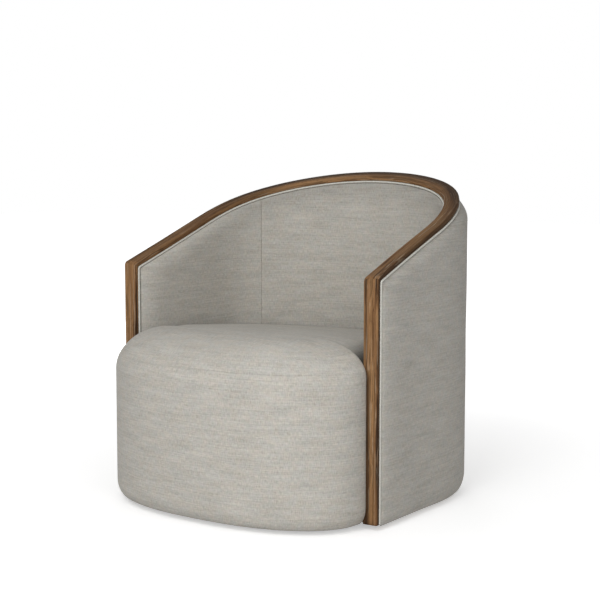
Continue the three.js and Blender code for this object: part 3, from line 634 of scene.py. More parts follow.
# Linen and wood are dull and dry to the eye. Zinc plate shines with a grey drift, nylon has a soft shine,
# black paint covers the plinth's grain, and foam, webbing and dust cloth are flat and barely mottled.
FINISHES: dict[Slot, Finish] = {
    Slot.OAK: LimedOak("limed_oak_wire_brushed", 0.7, specular=0.07),
    Slot.LINEN: WovenLinen("linen_blend_plain_woven", 0.95, specular=0.1, sheen=0.1),
    Slot.WELT: BiasPiping("linen_piping_bias_cut", 0.95, specular=0.1, sheen=0.1),
    Slot.FOAM: Mottled("polyurethane_foam_cut", 0.95, specular=0.1, pale="E0D7B8", dark="C9BE9A"),
    Slot.PLYWOOD: SawnWood("birch_plywood_raw", 0.7, ply=1.5 * MM),
    Slot.BEECH: SawnWood("beech_sawn", 0.65, pale="D6AF80", dark="B98C5E"),
    Slot.BLACK_PLY: Mottled("plywood_painted_black", 0.55, pale="262422", dark="171615"),
    Slot.WEBBING: Mottled("elastic_webbing_woven", 0.85, pale="9C3A33", dark="6E2320"),
    Slot.CAMBRIC: Mottled("dust_cloth_spun_bonded", 0.95, pale="202020", dark="101010", grit=3 * MM),
    Slot.STEEL: Mottled("steel_zinc_plated", 0.35, metallic=1.0),
    Slot.NYLON: Mottled("nylon_moulded", 0.45, pale="E8E4D8", dark="D4CFC0"),
}


# The wall's plan and levels, which every piece of it shares


@dataclass
class WallPlan:
    """The oak band's outer edge seen from above, and its top seen along the way.

    The back half is a superellipse and each arm a nearly straight line whose end splays a little outwards.
    Distances run from the middle of the back, negative towards the left arm.
    """

    half_width: float
    back: float
    post_plane: float
    top: float
    arm_height: float = 0.573
    arch_centre: float = 0.059
    arch_power: float = 2.2
    splay: float = 0.006
    fall_share: float = 0.57
    arm_bank: float = 0.07
    back_bank: float = 0.32
    back_gain: float = 1.7
    samples: int = 1500
    distances: Array = field(init=False)
    edge: Array = field(init=False)
    normal: Array = field(init=False)

    def __post_init__(self) -> None:
        """Traces half of the curve finely, mirrors it and measures it.

        The arch is x = width sin(t) ^ (2 / power) and y = depth cos(t) ^ (2 / power), and an arm splays
        outwards with the square of the share of it that is passed.
        """
        arch_width = self.half_width - self.splay
        turn = np.linspace(0.0, math.pi / 2, self.samples)
        power = 2 / self.arch_power
        arch_x = arch_width * np.sin(turn) ** power
        arch_y = self.arch_centre + (self.back - self.arch_centre) * np.abs(np.cos(turn)) ** power
        share = np.linspace(0.0, 1.0, self.samples)[1:]
        side_x = arch_width + self.splay * share**2
        side_y = self.arch_centre + (self.post_plane - self.arch_centre) * share
        half = np.stack([np.append(arch_x, side_x), np.append(arch_y, side_y)], axis=1)
        self.edge = np.concatenate([half[:0:-1] * (-1, 1), half])
        length = running_length(self.edge)
        self.distances = length - length[-1] / 2
        tangent = np.gradient(self.edge, self.distances, axis=0)
        tangent /= np.linalg.norm(tangent, axis=1, keepdims=True)
        self.normal = np.stack([-tangent[:, 1], tangent[:, 0]], axis=1)

    @property
    def length(self) -> float:
        """Distance from the middle of the back to the front of a post."""
        return float(self.distances[-1])

    @property
    def end_fall(self) -> float:
        """Angle below level at which the rail runs into a post."""
        return math.atan(-float(self.rail_slope(np.array(self.length))))

    def place(self, distance: Array, across: Array, height: Array) -> Array:
        """Points of the wall.

        A point is the edge at that distance, moved inwards by across, at the given height.

        Args:
            distance: Metres from the middle of the back.
            across: Metres inwards from the band's outer edge.
            height: Metres above the floor.

        Returns:
            Points, with the arguments' common shape and a last axis of three.
        """
        distance, across, height = np.broadcast_arrays(distance, across, height)
        held = np.clip(distance, -self.length, self.length)
        edge = [np.interp(held, self.distances, self.edge[:, k]) for k in (0, 1)]
        normal = [np.interp(held, self.distances, self.normal[:, k]) for k in (0, 1)]
        return np.stack([edge[0] - normal[0] * across, edge[1] - normal[1] * across, height], axis=-1)

    def facing_back(self, distance: Array) -> Array:
        """How squarely the wall's outside faces backwards: 0 along the arms, 1 in the middle of the back."""
        return np.maximum(np.interp(distance, self.distances, self.normal[:, 1]), 0.0)

    def at_back(self, distance: Array) -> Array:
        """How far the wall has turned from arm to back: 0 along the arms, 1 round the back, eased between."""
        return smooth_step(self.facing_back(distance) * self.back_gain)

    def bank(self, distance: Array) -> Array:
        """How far the band drops per metre towards the sitter: least along the arms, most behind the back."""
        return self.arm_bank + (self.back_bank - self.arm_bank) * self.facing_back(distance)

    def rail_top(self, distance: Array, across: Array | float = 0.0) -> Array:
        """The band's top: a parabola from the back that turns into a straight fall along the arms.

        Args:
            distance: Metres from the middle of the back.
            across: Metres inwards from the band's outer edge, over which the bank lowers it.

        Returns:
            Heights above the floor.
        """
        share = np.abs(distance) / self.length
        straight = self.fall_share * (2 * share - self.fall_share)
        fall = np.where(share < self.fall_share, share**2, straight)
        outer = self.top - (self.top - self.arm_height) * fall / (self.fall_share * (2 - self.fall_share))
        return outer - across * self.bank(distance)

    def rail_slope(self, distance: Array) -> Array:
        """How steeply the band's top rises along the wall."""
        probe = 1 * MM
        return (self.rail_top(distance + probe) - self.rail_top(distance - probe)) / (2 * probe)

    def lean(self, distance: Array) -> Array:
        """How much longer a square depth gets when measured straight down: root of 1 + slope^2 + bank^2."""
        return np.sqrt(1 + self.rail_slope(distance) ** 2 + self.bank(distance) ** 2)


@dataclass
class OakBand:
    """The bent oak rail, and the two posts mitred to its ends.

    One section runs along the rail, round a fillet at each corner and down the posts, and the mitre is a
    thin gap across the fillet's middle. A darkening, from stain and painted shade together, is the share of
    dark that each place holds. The outer limit and blur are what they are along the arms, and what the back
    adds. A post's board is how far from the rail's, in metres, it was cut.
    """

    plan: WallPlan
    width: float = 37.5 * MM
    thickness: float = 11.5 * MM
    arris: float = 4.5 * MM
    mitre_radius: float = 12 * MM
    under_chamfer: float = 1.5 * MM
    mitre_gap: float = 0.15 * MM
    post_bottom: float = 14 * MM
    least_fillet: float = 0.2 * MM
    seat_level: float = 375 * MM
    seat_level_blur: float = 30 * MM
    seat_cover: float = 22 * MM
    seat_cover_blur: float = 7 * MM
    edge_reach: float = 8 * MM
    side_start: float = 0.4
    # Shares of dark: a darker outer side and edge, painted shade on the posts beside the seat, stain on the
    # rail, and painted shade on its top round the back.
    outer_side_dark: float = 0.85
    outer_edge_dark: float = 0.8
    post_painted_shade: float = 0.7
    inner_stain: float = 0.28
    inner_painted_shade_at_back: float = 0.17
    inner_stain_at_turn: float = 0.15
    outer_stain: float = 0.25
    outer_painted_shade_at_back: float = 0.25
    outer_limit: tuple[float, float] = (0.6, 0.2)
    outer_blur: tuple[float, float] = (0.5, -0.1)
    turn_step: tuple[float, float] = (1.4, 0.3)
    # Where the painted highlight on the inner half behind the back starts, and how far it eases in.
    highlight_start: float = 0.6
    highlight_reach: float = 0.3
    top_lines: int = 8
    side_lines: int = 4
    corner_steps: int = 5
    bend_steps: int = 6
    post_steps: int = 60
    ring_spacing: float = 7 * MM
    post_board: float = 3.1

    def profile(self) -> tuple[Array, Array]:
        """The band's section, once round.

        Both upper corners are quarter circles, and both lower ones a small chamfer.

        Returns:
            Distances across the band and down from its top.
        """
        sine, cosine = quarter_arc(self.corner_steps)
        r, c, w, t = self.arris, self.under_chamfer, self.width, self.thickness
        top = np.linspace(r, w - r, self.top_lines)[1:-1]
        side = np.linspace(r, t - c, self.side_lines)[1:-1]
        outer, inner = [c, 0, *(0 * side)], [*(0 * side + w), w, w - c]
        across = np.concatenate([outer, r - r * cosine, top, w - r + r * sine, inner])
        up_outer, down_inner = [t, t - c, *side[::-1]], [*side, t - c, t]
        down = np.concatenate([up_outer, r - r * sine, 0 * top, r - r * cosine, down_inner])
        return across, down

    def corner(self, down: Array) -> tuple[Array, float]:
        """The rounded outer corner between rail and post.

        Args:
            down: Depth of each line of the band below its face.

        Returns:
            The fillet's radius for each line, and the angle that the band turns through.
        """
        return np.maximum(self.mitre_radius - down, self.least_fillet), math.pi / 2 - self.plan.end_fall

    def darkening_and_highlight(self, distance: Array, across: Array, down: Array, height: Array) -> tuple[Array, Array]:
        """Where the band is darker, from stain and painted shade, and where it gets a painted highlight.

        The outer side and edge are darker. The rail holds some stain, more on its outer half, and round the
        back its top is darker still, which is painted shade. Painted shade also darkens the posts' inner
        edges below the seat's top. Behind the back the inner half gets a painted highlight. Each is an eased
        step between two places, and where they meet the darkest one holds.

        Args:
            distance: Distance along the wall of each point.
            across: Distance across the band of each line.
            down: Depth of each line.
            height: Height of each point.

        Returns:
            Darkening, stain with painted shade, and painted highlight of each point, as shares.
        """
        plan, share = self.plan, across / self.width
        on_rail = smooth_step((height - plan.rail_top(distance) + self.width) / self.width)
        on_rail = on_rail * (np.abs(distance) < plan.length - self.thickness)
        at_back = smooth_step(plan.bank(distance) / plan.back_bank * self.turn_step[0] - self.turn_step[1])
        at_turn = 4 * at_back * (1 - at_back)
        # Darker on the outer side face and along the outer edge.
        side = smooth_step(down / self.arris - self.side_start) * (across < self.width / 2)
        edge = smooth_step(1 - across / self.edge_reach)
        limit, blur = (arm + more * at_back for arm, more in (self.outer_limit, self.outer_blur))
        outer_half = smooth_step((limit - share) / blur)
        # Round the back the rail's top gets darker: painted shade.
        inner = self.inner_stain + self.inner_painted_shade_at_back * at_back + self.inner_stain_at_turn * at_turn
        outer = (self.outer_stain + self.outer_painted_shade_at_back * at_back) * outer_half
        rail = on_rail * np.maximum(inner + outer, self.outer_edge_dark * edge)
        inner_edge = smooth_step((self.seat_cover - (self.width - across)) / self.seat_cover_blur)
        below_seat = smooth_step((self.seat_level - height) / self.seat_level_blur)
        # Painted shade on the posts' inner edges below the seat's top, where the seat stands against them.
        post = self.post_painted_shade * (1 - on_rail) * inner_edge * below_seat
        stain = np.clip(np.maximum(self.outer_side_dark * side, np.maximum(rail, post)), 0.0, 1.0)
        # Painted highlight on the inner half behind the back.
        inner_half = smooth_step((share - self.highlight_start) / self.highlight_reach)
        behind = smooth_step((plan.facing_back(distance) - self.highlight_start) / self.highlight_reach)
        return stain, on_rail * behind * inner_half + 0 * height

    def bend(self, across: Array, down: Array, turns: Array) -> tuple[Array, Array]:
        """Distance and height of the lines round the corner, at angles from the rail's own direction.

        The fillet's centre lies one radius inside both faces, and a point is the centre plus the radius
        times the outward direction at that angle.

        Args:
            across: Distance across the band of each line.
            down: Depth of each line below the band's face.
            turns: Angles turned since the rail, for each ring.

        Returns:
            Distance along the wall and height, ring by ring.
        """
        radius, turn = self.corner(down)
        fall = self.plan.end_fall
        last = np.array(self.plan.length)
        corner_height = self.plan.rail_top(last, across) - down * self.plan.lean(last) + down * math.tan(fall)
        centre_out = self.plan.length - down - radius
        centre_up = corner_height - radius * math.tan(turn / 2)
        angle = fall + turns[:, None]
        return centre_out + radius * np.sin(angle), centre_up + radius * np.cos(angle)

    def build(self, finish: bpy.types.Material) -> None:
        """Makes and dresses the rail and both posts.

        The rail's rings run from the middle of the back to the fillet's middle, mirrored to the other arm.
        A post's rings run from there to its foot.

        Args:
            finish: The oak.
        """
        across, down = self.profile()
        radius, turn = self.corner(down)
        half_gap = self.mitre_gap / 2
        start = self.plan.length - down - radius * math.tan(turn / 2) * math.cos(self.plan.end_fall)
        share = np.linspace(0.0, 1.0, round(self.plan.length / self.ring_spacing))[:, None]
        rail = share * (start - half_gap)
        rail_up = self.plan.rail_top(rail, across) - down * self.plan.lean(rail)
        bend_angles = np.linspace(0.0, turn / 2, self.bend_steps + 1)[1:]
        bend_out, bend_up = self.bend(across, down, bend_angles)
        half_out = np.concatenate([rail, bend_out - half_gap])
        half_up = np.concatenate([rail_up, bend_up])
        distance = np.concatenate([-half_out[:0:-1], half_out])
        height = np.concatenate([half_up[:0:-1], half_up])
        self.make("oak_rail", distance, across, down, height, 0.0, finish, "trim_rail")

        post_out, post_up = self.bend(across, down, np.linspace(turn / 2, turn, self.bend_steps + 1))
        drop = np.linspace(0.0, 1.0, self.post_steps)[1:, None]
        straight_up = post_up[-1] + drop * (self.post_bottom - post_up[-1])
        out = np.concatenate([post_out, np.broadcast_to(post_out[-1], straight_up.shape)])
        up = np.concatenate([post_up - half_gap, straight_up])
        for side in Side:
            name, node = f"oak_post_{side.name.lower()}", f"trim_post_{side.name.lower()}"
            self.make(name, side.value * out, across, down, up, self.post_board + side.value, finish, node)

    def make(self, name: str, distance: Array, across: Array, down: Array, height: Array, offset: float,
             finish: bpy.types.Material, node: str) -> None:
        """Makes one stick of the band, a closed tube whose rings are the section at each distance.

        Args:
            name: The piece's name.
            distance: Distance along the wall, ring by ring.
            across: Distance across the band of each line.
            down: Depth of each line.
            height: Height of each point.
            offset: Where along the board this stick was cut, so that no two sticks look alike.
            finish: Its material.
            node: The CAD node that it replaces.
        """
        points = self.plan.place(distance, across, height)
        rings, count = height.shape
        along = running_length(points[:, count // 2, :])[:, None] + offset
        grain = np.stack(np.broadcast_arrays(along, across, down), axis=-1)
        # Darkening from stain and painted shade, and the painted highlight.
        stain, painted_highlight = self.darkening_and_highlight(distance, across, down, height)
        layers = {"grain": grain.reshape(-1, 3), "stain": stain.ravel(), "painted_highlight": painted_highlight.ravel()}
        piece = make_mesh(name, points.reshape(-1, 3), tube_faces(rings, count), layers)
        hand_over(piece, "chair", Slot.OAK, finish, node)


@dataclass
class Piping:
    """A cord of cloth in the corner under each lower edge of the band, which turns down behind the posts."""

    plan: WallPlan
    band: OakBand
    diameter: float = 5 * MM
    gap: float = 0.3 * MM
    bend_radius: float = 7 * MM
    bend_steps: int = 7
    inner_bottom: float = 260 * MM
    sides: int = 12
    spacing: float = 5 * MM

    def path(self, across: float, bottom: float) -> Array:
        """The cord's centreline: under the rail, round a small bend and down behind the post.

        Args:
            across: How far inside the band's outer edge the cord lies.
            bottom: Height of its lower ends.

        Returns:
            Points from the left end to the right one.
        """
        radius = self.diameter / 2
        end = self.plan.length - self.band.thickness - self.gap - radius
        fall = self.plan.end_fall
        turn = math.pi / 2 - fall
        reach = self.bend_radius * math.tan(turn / 2)
        rail = np.linspace(0.0, end - reach * math.cos(fall), round(end / self.spacing))
        rail_up = self.level(rail, across)
        angle = fall + np.linspace(0.0, turn, self.bend_steps)[1:]
        corner_up = float(self.level(np.array(end), across))
        bend_out = end - self.bend_radius + self.bend_radius * np.sin(angle)
        bend_up = corner_up - reach + self.bend_radius * np.cos(angle)
        down = np.linspace(bend_up[-1], bottom, round((bend_up[-1] - bottom) / self.spacing))[1:]
        half = np.concatenate([rail, bend_out, np.full(down.shape, end)])
        half_up = np.concatenate([rail_up, bend_up, down])
        height = np.append(half_up[:0:-1], half_up)
        return self.plan.place(np.append(-half[:0:-1], half), np.array(across), height)

    def level(self, distance: Array, across: float) -> Array:
        """Height of the cord's middle: it touches the banked band with its inner side.

        Args:
            distance: Metres from the middle of the back.
            across: How far inside the band's outer edge the cord lies.

        Returns:
            Heights above the floor.
        """
        touch = min(across + self.diameter / 2, self.band.width)
        under_band = self.plan.rail_top(distance, touch) - self.band.thickness * self.plan.lean(distance)
        return under_band - self.gap - self.diameter / 2

    def build(self, name: str, node: str, across: float, bottom: float, finish: bpy.types.Material) -> None:
        """Makes one cord: circles square to the path, closed at both ends.

        Args:
            name: The piece's name.
            node: The CAD node that it replaces.
            across: How far inside the band's outer edge the cord lies.
            bottom: Height of its lower ends.
            finish: Its material.
        """
        path = self.path(across, bottom)
        tangent = np.gradient(path, axis=0)
        tangent /= np.linalg.norm(tangent, axis=1, keepdims=True)
        outward = path * (1, 1, 0) - (0, self.plan.arch_centre, 0)
        side = np.cross(tangent, outward)
        side /= np.linalg.norm(side, axis=1, keepdims=True)
        face = np.cross(side, tangent)
        angle = np.linspace(0.0, 2 * math.pi, self.sides, endpoint=False)[None, :, None]
        spokes = face[:, None] * np.cos(angle) + side[:, None] * np.sin(angle)
        points = path[:, None] + spokes * self.diameter / 2
        along = np.broadcast_to(running_length(path)[:, None], points.shape[:2])
        round_it = np.broadcast_to(angle[..., 0] * self.diameter / 2, points.shape[:2])
        cloth = np.stack([along, round_it, 0 * along], axis=-1).reshape(-1, 3)
        piece = make_mesh(name, points.reshape(-1, 3), tube_faces(len(path), self.sides), {"cloth": cloth})
        hand_over(piece, "chair", Slot.WELT, finish, node)


@dataclass
class WallUpholstery:
    """The padded cloth on both faces of the wall.

    A bulge is how far the padding stands beyond the band, and it grows over a reach from either post. The
    cloth tucks and turns in under the piping. A seam shade is painted shade, a thin dark line beside a seam,
    and the shade is painted shade that darkens the cloth under the band round the back. Steps are how many
    points each stretch of a profile gets.
    """

    plan: WallPlan
    band: OakBand
    piping: Piping
    back_bulge: float = 21 * MM
    arm_bulge: float = 9 * MM
    end_bulge: float = 1.5 * MM
    end_reach: float = 75 * MM
    outer_tuck: float = 0.7 * MM
    outer_turn_in: float = 4 * MM
    outer_shoulder: float = 38 * MM
    hem_height: float = 45 * MM
    hem_bottom: float = 10 * MM
    inner_back_bulge: float = 10 * MM
    inner_arm_bulge: float = 17 * MM
    inner_end_bulge: float = 1.5 * MM
    inner_end_reach: float = 95 * MM
    inner_shoulder: float = 38 * MM
    inner_bottom: float = 255 * MM
    inner_depth: float = 8 * MM
    inner_turn_in: float = 8 * MM
    seam_share: float = 0.43
    seam_gap: float = 0.3 * MM
    seam_depth: float = 1.4 * MM
    seam_reach: float = 8 * MM
    unevenness: float = 0.5 * MM
    # Painted shade: a thin dark line beside each seam, outside and inside.
    outer_seam_shade: float = 0.05
    inner_seam_shade: float = 0.95
    seam_shade_width: float = 1.8 * MM
    # Painted shade under the band round the back.
    shade_depth: float = 0.24
    shade_width: float = 46 * MM
    spacing: float = 7 * MM
    extra_shares: tuple[float, ...] = (0.15, 0.45, 1.0)
    outer_steps: tuple[int, int, int] = (15, 70, 14)
    inner_steps: tuple[int, int] = (12, 50)

    @property
    def end(self) -> float:
        """Distance at which the cloth meets the piping behind a post."""
        return self.plan.length - self.band.thickness - self.piping.diameter - 2 * self.piping.gap

    def cloth_top(self, distance: Array, across: float) -> Array:
        """Height at which the cloth tucks in under the piping that lies so far across the band."""
        return self.piping.level(distance, across) - self.piping.diameter / 2 - self.piping.gap

    def inner_bulge(self, distance: Array) -> Array:
        """How far the padding stands in from the band's inner edge: more along the arms than at the back."""
        at_back = self.plan.at_back(distance)
        return self.inner_arm_bulge + (self.inner_back_bulge - self.inner_arm_bulge) * at_back

    def grown(self, distance: Array, reach: float, least: float, full: Array) -> Array:
        """How far the padding stands out as it grows from a post to its full bulge.

        Args:
            distance: Distance along the wall.
            reach: Over what length it grows.
            least: The bulge at the post.
            full: The bulge where it is full.

        Returns:
            least + (full - least) (1 - (1 - share) ^ 3), where share is the share of the reach.
        """
        share = np.clip((self.end - np.abs(distance)) / reach, 0.0, 1.0)
        return least + (full - least) * (1 - (1 - share) ** 3)

    def rings(self, start: float, stop: float, finest: float) -> Array:
        """Distances from start to stop: an even run, and three more places near either end.

        Args:
            start: First distance.
            stop: Last distance.
            finest: How far from the ends the extra places reach.

        Returns:
            Rising distances.
        """
        share = np.linspace(0.0, 1.0, round((stop - start) / self.spacing))
        near = finest * np.array(self.extra_shares)
        near = near[near < (stop - start) / 4]
        even = start + near.max() + share * (stop - start - 2 * near.max())
        return np.concatenate([[start], start + near[:-1], even, stop - near[:-1][::-1], [stop]])

    def build_outside(self, finish: bpy.types.Material) -> None:
        """The outer cover: a shoulder that is a parabola, an upright face and a rounded hem, flat below.

        Args:
            finish: The linen.
        """
        shoulder_steps, face_steps, hem_steps = self.outer_steps
        distance = self.rings(-self.end, self.end, self.end_reach)
        full = self.arm_bulge + (self.back_bulge - self.arm_bulge) * self.plan.at_back(distance)
        bulge = self.grown(distance, self.end_reach, self.end_bulge, full)[:, None]
        top = self.cloth_top(distance, 0.0)[:, None]
        tuck = self.outer_tuck + 0 * bulge
        down = np.linspace(0.0, 1.0, shoulder_steps)
        shoulder_across = tuck - (bulge + tuck) * (1 - (1 - down) ** 2)
        shoulder_up = top - self.outer_shoulder * down
        sine, cosine = quarter_arc(hem_steps)
        hem = self.hem_height * np.sqrt(bulge / self.back_bulge)
        hem_up = self.hem_bottom + hem - hem * sine
        run = np.linspace(0.0, 1.0, face_steps)[1:-1]
        face_up = shoulder_up[:, -1:] + (hem_up[:, :1] - shoulder_up[:, -1:]) * run
        face_across = -bulge + 0 * face_up
        inside_up = np.concatenate([self.hem_bottom + 0 * top, top - self.outer_turn_in], axis=1)
        across = np.concatenate([shoulder_across, face_across, -bulge * cosine, tuck, tuck], axis=1)
        up = np.concatenate([shoulder_up, face_up, hem_up, inside_up], axis=1)
        from_post = (self.end - np.abs(distance[:, None])) / self.end_reach
        calm = smooth_step(from_post * 2) * smooth_step(-across / bulge * 2 - 1)
        across = across - unevenness(distance[:, None] + 0 * up, up, self.unevenness) * calm
        nodes = ("outer_padding", "outer_cover")
        outside = shoulder_steps + face_steps - 2
        self.make("outer_upholstery", distance, across, up, outside, self.outer_seam_shade, finish, *nodes)

    def build_inside(self, finish: bpy.types.Material) -> None:
        """The inner cover: two arm panels and the back, rolled in to each other at two upright seams.

        Each profile is a quarter ellipse from the band to the full bulge and an upright face below it. Beside
        a seam the cloth sinks along a quarter circle.

        Args:
            finish: The linen.
        """
        shoulder_steps, face_steps = self.inner_steps
        seam = self.seam_share * self.plan.length
        half = self.seam_gap / 2
        edge = self.band.width
        panels = {
            "left": (-self.end, -seam - half, ("inner_cover_left",)),
            "back": (-seam + half, seam - half, ("inner_cover_back", "inner_padding")),
            "right": (seam + half, self.end, ("inner_cover_right",)),
        }
        for name, (start, stop, nodes) in panels.items():
            distance = self.rings(start, stop, self.seam_reach)
            roll = np.clip(np.minimum(distance - start, stop - distance) / self.seam_reach, 0.0, 1.0)
            sink = self.seam_depth * (1 - np.sqrt(1 - (1 - roll) ** 2))[:, None]
            top = self.cloth_top(distance, edge)[:, None]
            full = self.inner_bulge(distance)
            bulge = self.grown(distance, self.inner_end_reach, self.inner_end_bulge, full)[:, None]
            sine, cosine = quarter_arc(shoulder_steps)
            shoulder_up = top - self.inner_shoulder * (1 - cosine)
            run = np.linspace(0.0, 1.0, face_steps)[1:]
            face_up = shoulder_up[:, -1:] + (self.inner_bottom - shoulder_up[:, -1:]) * run
            behind = edge + self.inner_end_bulge - self.inner_depth + 0 * top
            shoulder_across, face_across = edge + bulge * sine, edge + bulge + 0 * face_up
            across = np.concatenate([shoulder_across, face_across, behind, edge + 0 * top], axis=1)
            back_up = (self.inner_bottom + 0 * top, top - self.inner_turn_in)
            up = np.concatenate([shoulder_up, face_up, *back_up], axis=1)
            outside = shoulder_steps + face_steps
            front = (np.arange(up.shape[1]) < outside)[None, :]
            swell = unevenness(distance[:, None] + 0 * up, up, self.unevenness) * smooth_step(roll)[:, None]
            across = across + np.where(front, swell - self.unevenness - sink, 0.0)
            name = f"inner_upholstery_{name}"
            self.make(name, distance, across, up, outside, self.inner_seam_shade, finish, *nodes)

    def make(self, name: str, distance: Array, across: Array, up: Array, outside: int, seam_shade_depth: float,
             finish: bpy.types.Material, *nodes: str) -> None:
        """Makes one padded cover from its rings.

        The cloth's own coordinates are lengths on its surface: along the wall from the chair's middle, and
        up from the foot of the upright face, where they equal the height.

        Args:
            name: The piece's name.
            distance: Distance along the wall of each ring.
            across: Distance across the wall of each point.
            up: Height of each point.
            outside: How many points of a ring, from its top, are shoulder and upright face.
            seam_shade_depth: How dark the painted shade beside a seam is, as a share.
            finish: Its material.
            *nodes: The CAD nodes that it replaces.
        """
        points = self.plan.place(distance[:, None], across, up)
        rings, count = up.shape
        along = running_length(np.swapaxes(points, 0, 1)).T
        middle = int(np.argmin(np.abs(distance)))
        along = along - along[middle] + distance[middle]
        profile = running_length(points)
        foot = slice(outside - 1, outside)
        cloth = np.stack([along, profile[:, foot] - profile + up[:, foot], 0 * up], axis=-1)
        # Painted shade: a thin dark line beside each seam.
        from_end = (self.end - np.abs(distance))[:, None]
        to_seam = np.minimum(profile, np.maximum(from_end, 0.0))
        painted_shade = seam_shade_depth * np.exp(-((to_seam / self.seam_shade_width) ** 2))
        # Painted shade under the band round the back.
        shade = self.shade_depth * self.plan.at_back(distance)[:, None]
        painted_shade = painted_shade + shade * np.exp(-((profile / self.shade_width) ** 2))
        layers = {"cloth": cloth.reshape(-1, 3), "painted_shade": painted_shade.ravel()}
        piece = make_mesh(name, points.reshape(-1, 3), tube_faces(rings, count), layers)
        hand_over(piece, "chair", Slot.LINEN, finish, *nodes)


@dataclass
class SeatDrum:
    """The seat: a drum whose round front stands ahead of the posts, all in one cloth.

    Seen from above it is an ellipse-like nose, a notch behind each post and the inside of the wall. Each
    point of that outline sends a profile up the side, over a soft shoulder and in to the middle line.
    A shoulder is how far in it reaches and how far down. The notch lies in steps behind the nose's end. The
    seat is settled: it rises to the right by so many metres a metre. The fold is a faint line of painted
    shade along the nose's shoulder, and the crevice is painted shade between seat and wall. Steps are points
    on each stretch.
    """

    plan: WallPlan
    wall: WallUpholstery
    crown_height: float
    nose_front: float
    crown: float = 6 * MM
    back_fall: float = 49 * MM
    settled: float = 0.008
    level_from: float = 300 * MM
    level_step: tuple[float, float] = (0.25, 0.6)
    nose_half_width: float = 352 * MM
    nose_standoff: float = 3.5 * MM
    nose_power: float = 2.2
    nose_shoulder: tuple[float, float] = (0.140, 0.095)
    arm_shoulder: tuple[float, float] = (0.125, 0.074)
    back_shoulder: tuple[float, float] = (0.020, 0.010)
    nose_blend: float = 90 * MM
    arm_blend: float = 170 * MM
    hem_depth: float = 27 * MM
    hem_height: float = 40 * MM
    hem_bottom: float = 10 * MM
    post_fold: float = 3 * MM
    post_clearance: float = 0.6 * MM
    notch_round: float = 1 * MM
    notch_behind: tuple[float, ...] = (1.5 * MM, 3 * MM, 5 * MM, 12 * MM)
    side_start: float = 2 * MM
    side_gap: float = 0.5 * MM
    fold_angle: float = 0.366
    fold_width: float = 0.012
    fold_rows: tuple[float, ...] = (-0.024, -0.012, 0.0, 0.012, 0.024)
    # Painted shade along the nose's fold.
    fold_shade_depth: float = 0.12
    # Painted shade in the crevice between seat and wall.
    crevice_shade_depth: float = 0.95
    crevice_shade_width: float = 33 * MM
    crevice_shade_start: float = 20 * MM
    outline_steps: tuple[int, int] = (90, 150)
    profile_steps: tuple[int, int, int, int] = (8, 40, 25, 30)

    def half_outline(self) -> Array:
        """The right half of the outline, from the middle of the front to the middle of the back.

        The nose is x = width cos(t) ^ (2 / power) and y = depth sin(t) ^ (2 / power). Five points lead from
        it round the post, and the rest lies along the wall's inner face.

        Returns:
            Points seen from above.
        """
        nose_steps, side_steps = self.outline_steps
        turn = np.linspace(math.pi / 2, 0.0, nose_steps)
        power = 2 / self.nose_power
        plane = self.plan.post_plane - self.nose_standoff
        nose_x = self.nose_half_width * np.abs(np.cos(turn)) ** power
        nose_y = plane - (plane - self.nose_front) * np.sin(turn) ** power
        nose_x[0] = 0.0
        corner = self.plan.half_width - self.wall.band.width - self.post_fold
        behind = self.plan.post_plane + self.wall.band.thickness + self.post_clearance
        first, second = self.nose_half_width - self.notch_round, corner + self.notch_round
        notch_x = np.array([first, second, corner, corner, corner])
        notch_y = np.array([*(plane + step for step in self.notch_behind), behind])
        distance = np.linspace(self.wall.end + self.side_start, 0.0, side_steps)
        side = self.plan.place(distance, self.face(distance), np.array(0.0))
        side[-1, 0] = 0.0
        x = np.concatenate([nose_x, notch_x, side[:, 0]])
        return np.stack([x, np.concatenate([nose_y, notch_y, side[:, 1]])], axis=1)

    def shoulder(self, y: Array) -> tuple[Array, Array]:
        """How far in and down the shoulder reaches: wide at the nose, less by the arms, least at the back.

        Args:
            y: Where each point of the outline lies from front to back.

        Returns:
            Reach and drop of each point, eased from one of the three shoulders to the next.
        """
        ahead = smooth_step((self.plan.post_plane - y) / self.nose_blend)
        behind = smooth_step((y - self.plan.post_plane) / self.arm_blend)
        nose, arm, back = (np.array(s) for s in (self.nose_shoulder, self.arm_shoulder, self.back_shoulder))
        mixed = arm + (nose - arm) * ahead[:, None] + (back - arm) * behind[:, None]
        return mixed[:, 0], mixed[:, 1]

    def fall(self, y: Array) -> Array:
        """The share of the seat's fall that is made at y: none at the posts, all of it at the back."""
        seat_back = self.plan.back - self.face(np.array(0.0))
        return np.maximum(0.0, (y - self.plan.post_plane) / (seat_back - self.plan.post_plane))

    def crown_level(self, share: Array, y: Array, middle: Array) -> Array:
        """Height of the crown: its rise 1 - (1 - share) ^ 2 towards the middle, less the seat's fall there.

        Args:
            share: How much of the way from the outline to the middle line is passed.
            y: Where each point of the outline lies from front to back.
            middle: Where its profile ends on the middle line.

        Returns:
            Heights above the floor.
        """
        rise = self.crown * (1 - (1 - share) ** 2)
        return self.crown_height - self.crown + rise - self.back_fall * self.fall(y + (middle - y) * share)

    def face(self, distance: Array) -> Array:
        """How far inside the band's outer edge the seat meets the wall."""
        return self.wall.band.width + self.wall.inner_bulge(distance) + self.side_gap

    def fold_and_crevice_shade(self, y: Array, inward: Array, turn: Array, first: int) -> Array:
        """Painted shade along the nose's fold and in the crevice beside the wall, each a bell curve.

        Args:
            y: Where each point of the outline lies from front to back.
            inward: How far in from the outline each point lies, ring by ring.
            turn: The angle of each of the shoulder's rings.
            first: Number of the shoulder's first ring.

        Returns:
            Shares of painted shade, ring by ring.
        """
        fold_shade = np.zeros(inward.shape)
        bell = np.exp(-(((turn - self.fold_angle) / self.fold_width) ** 2))
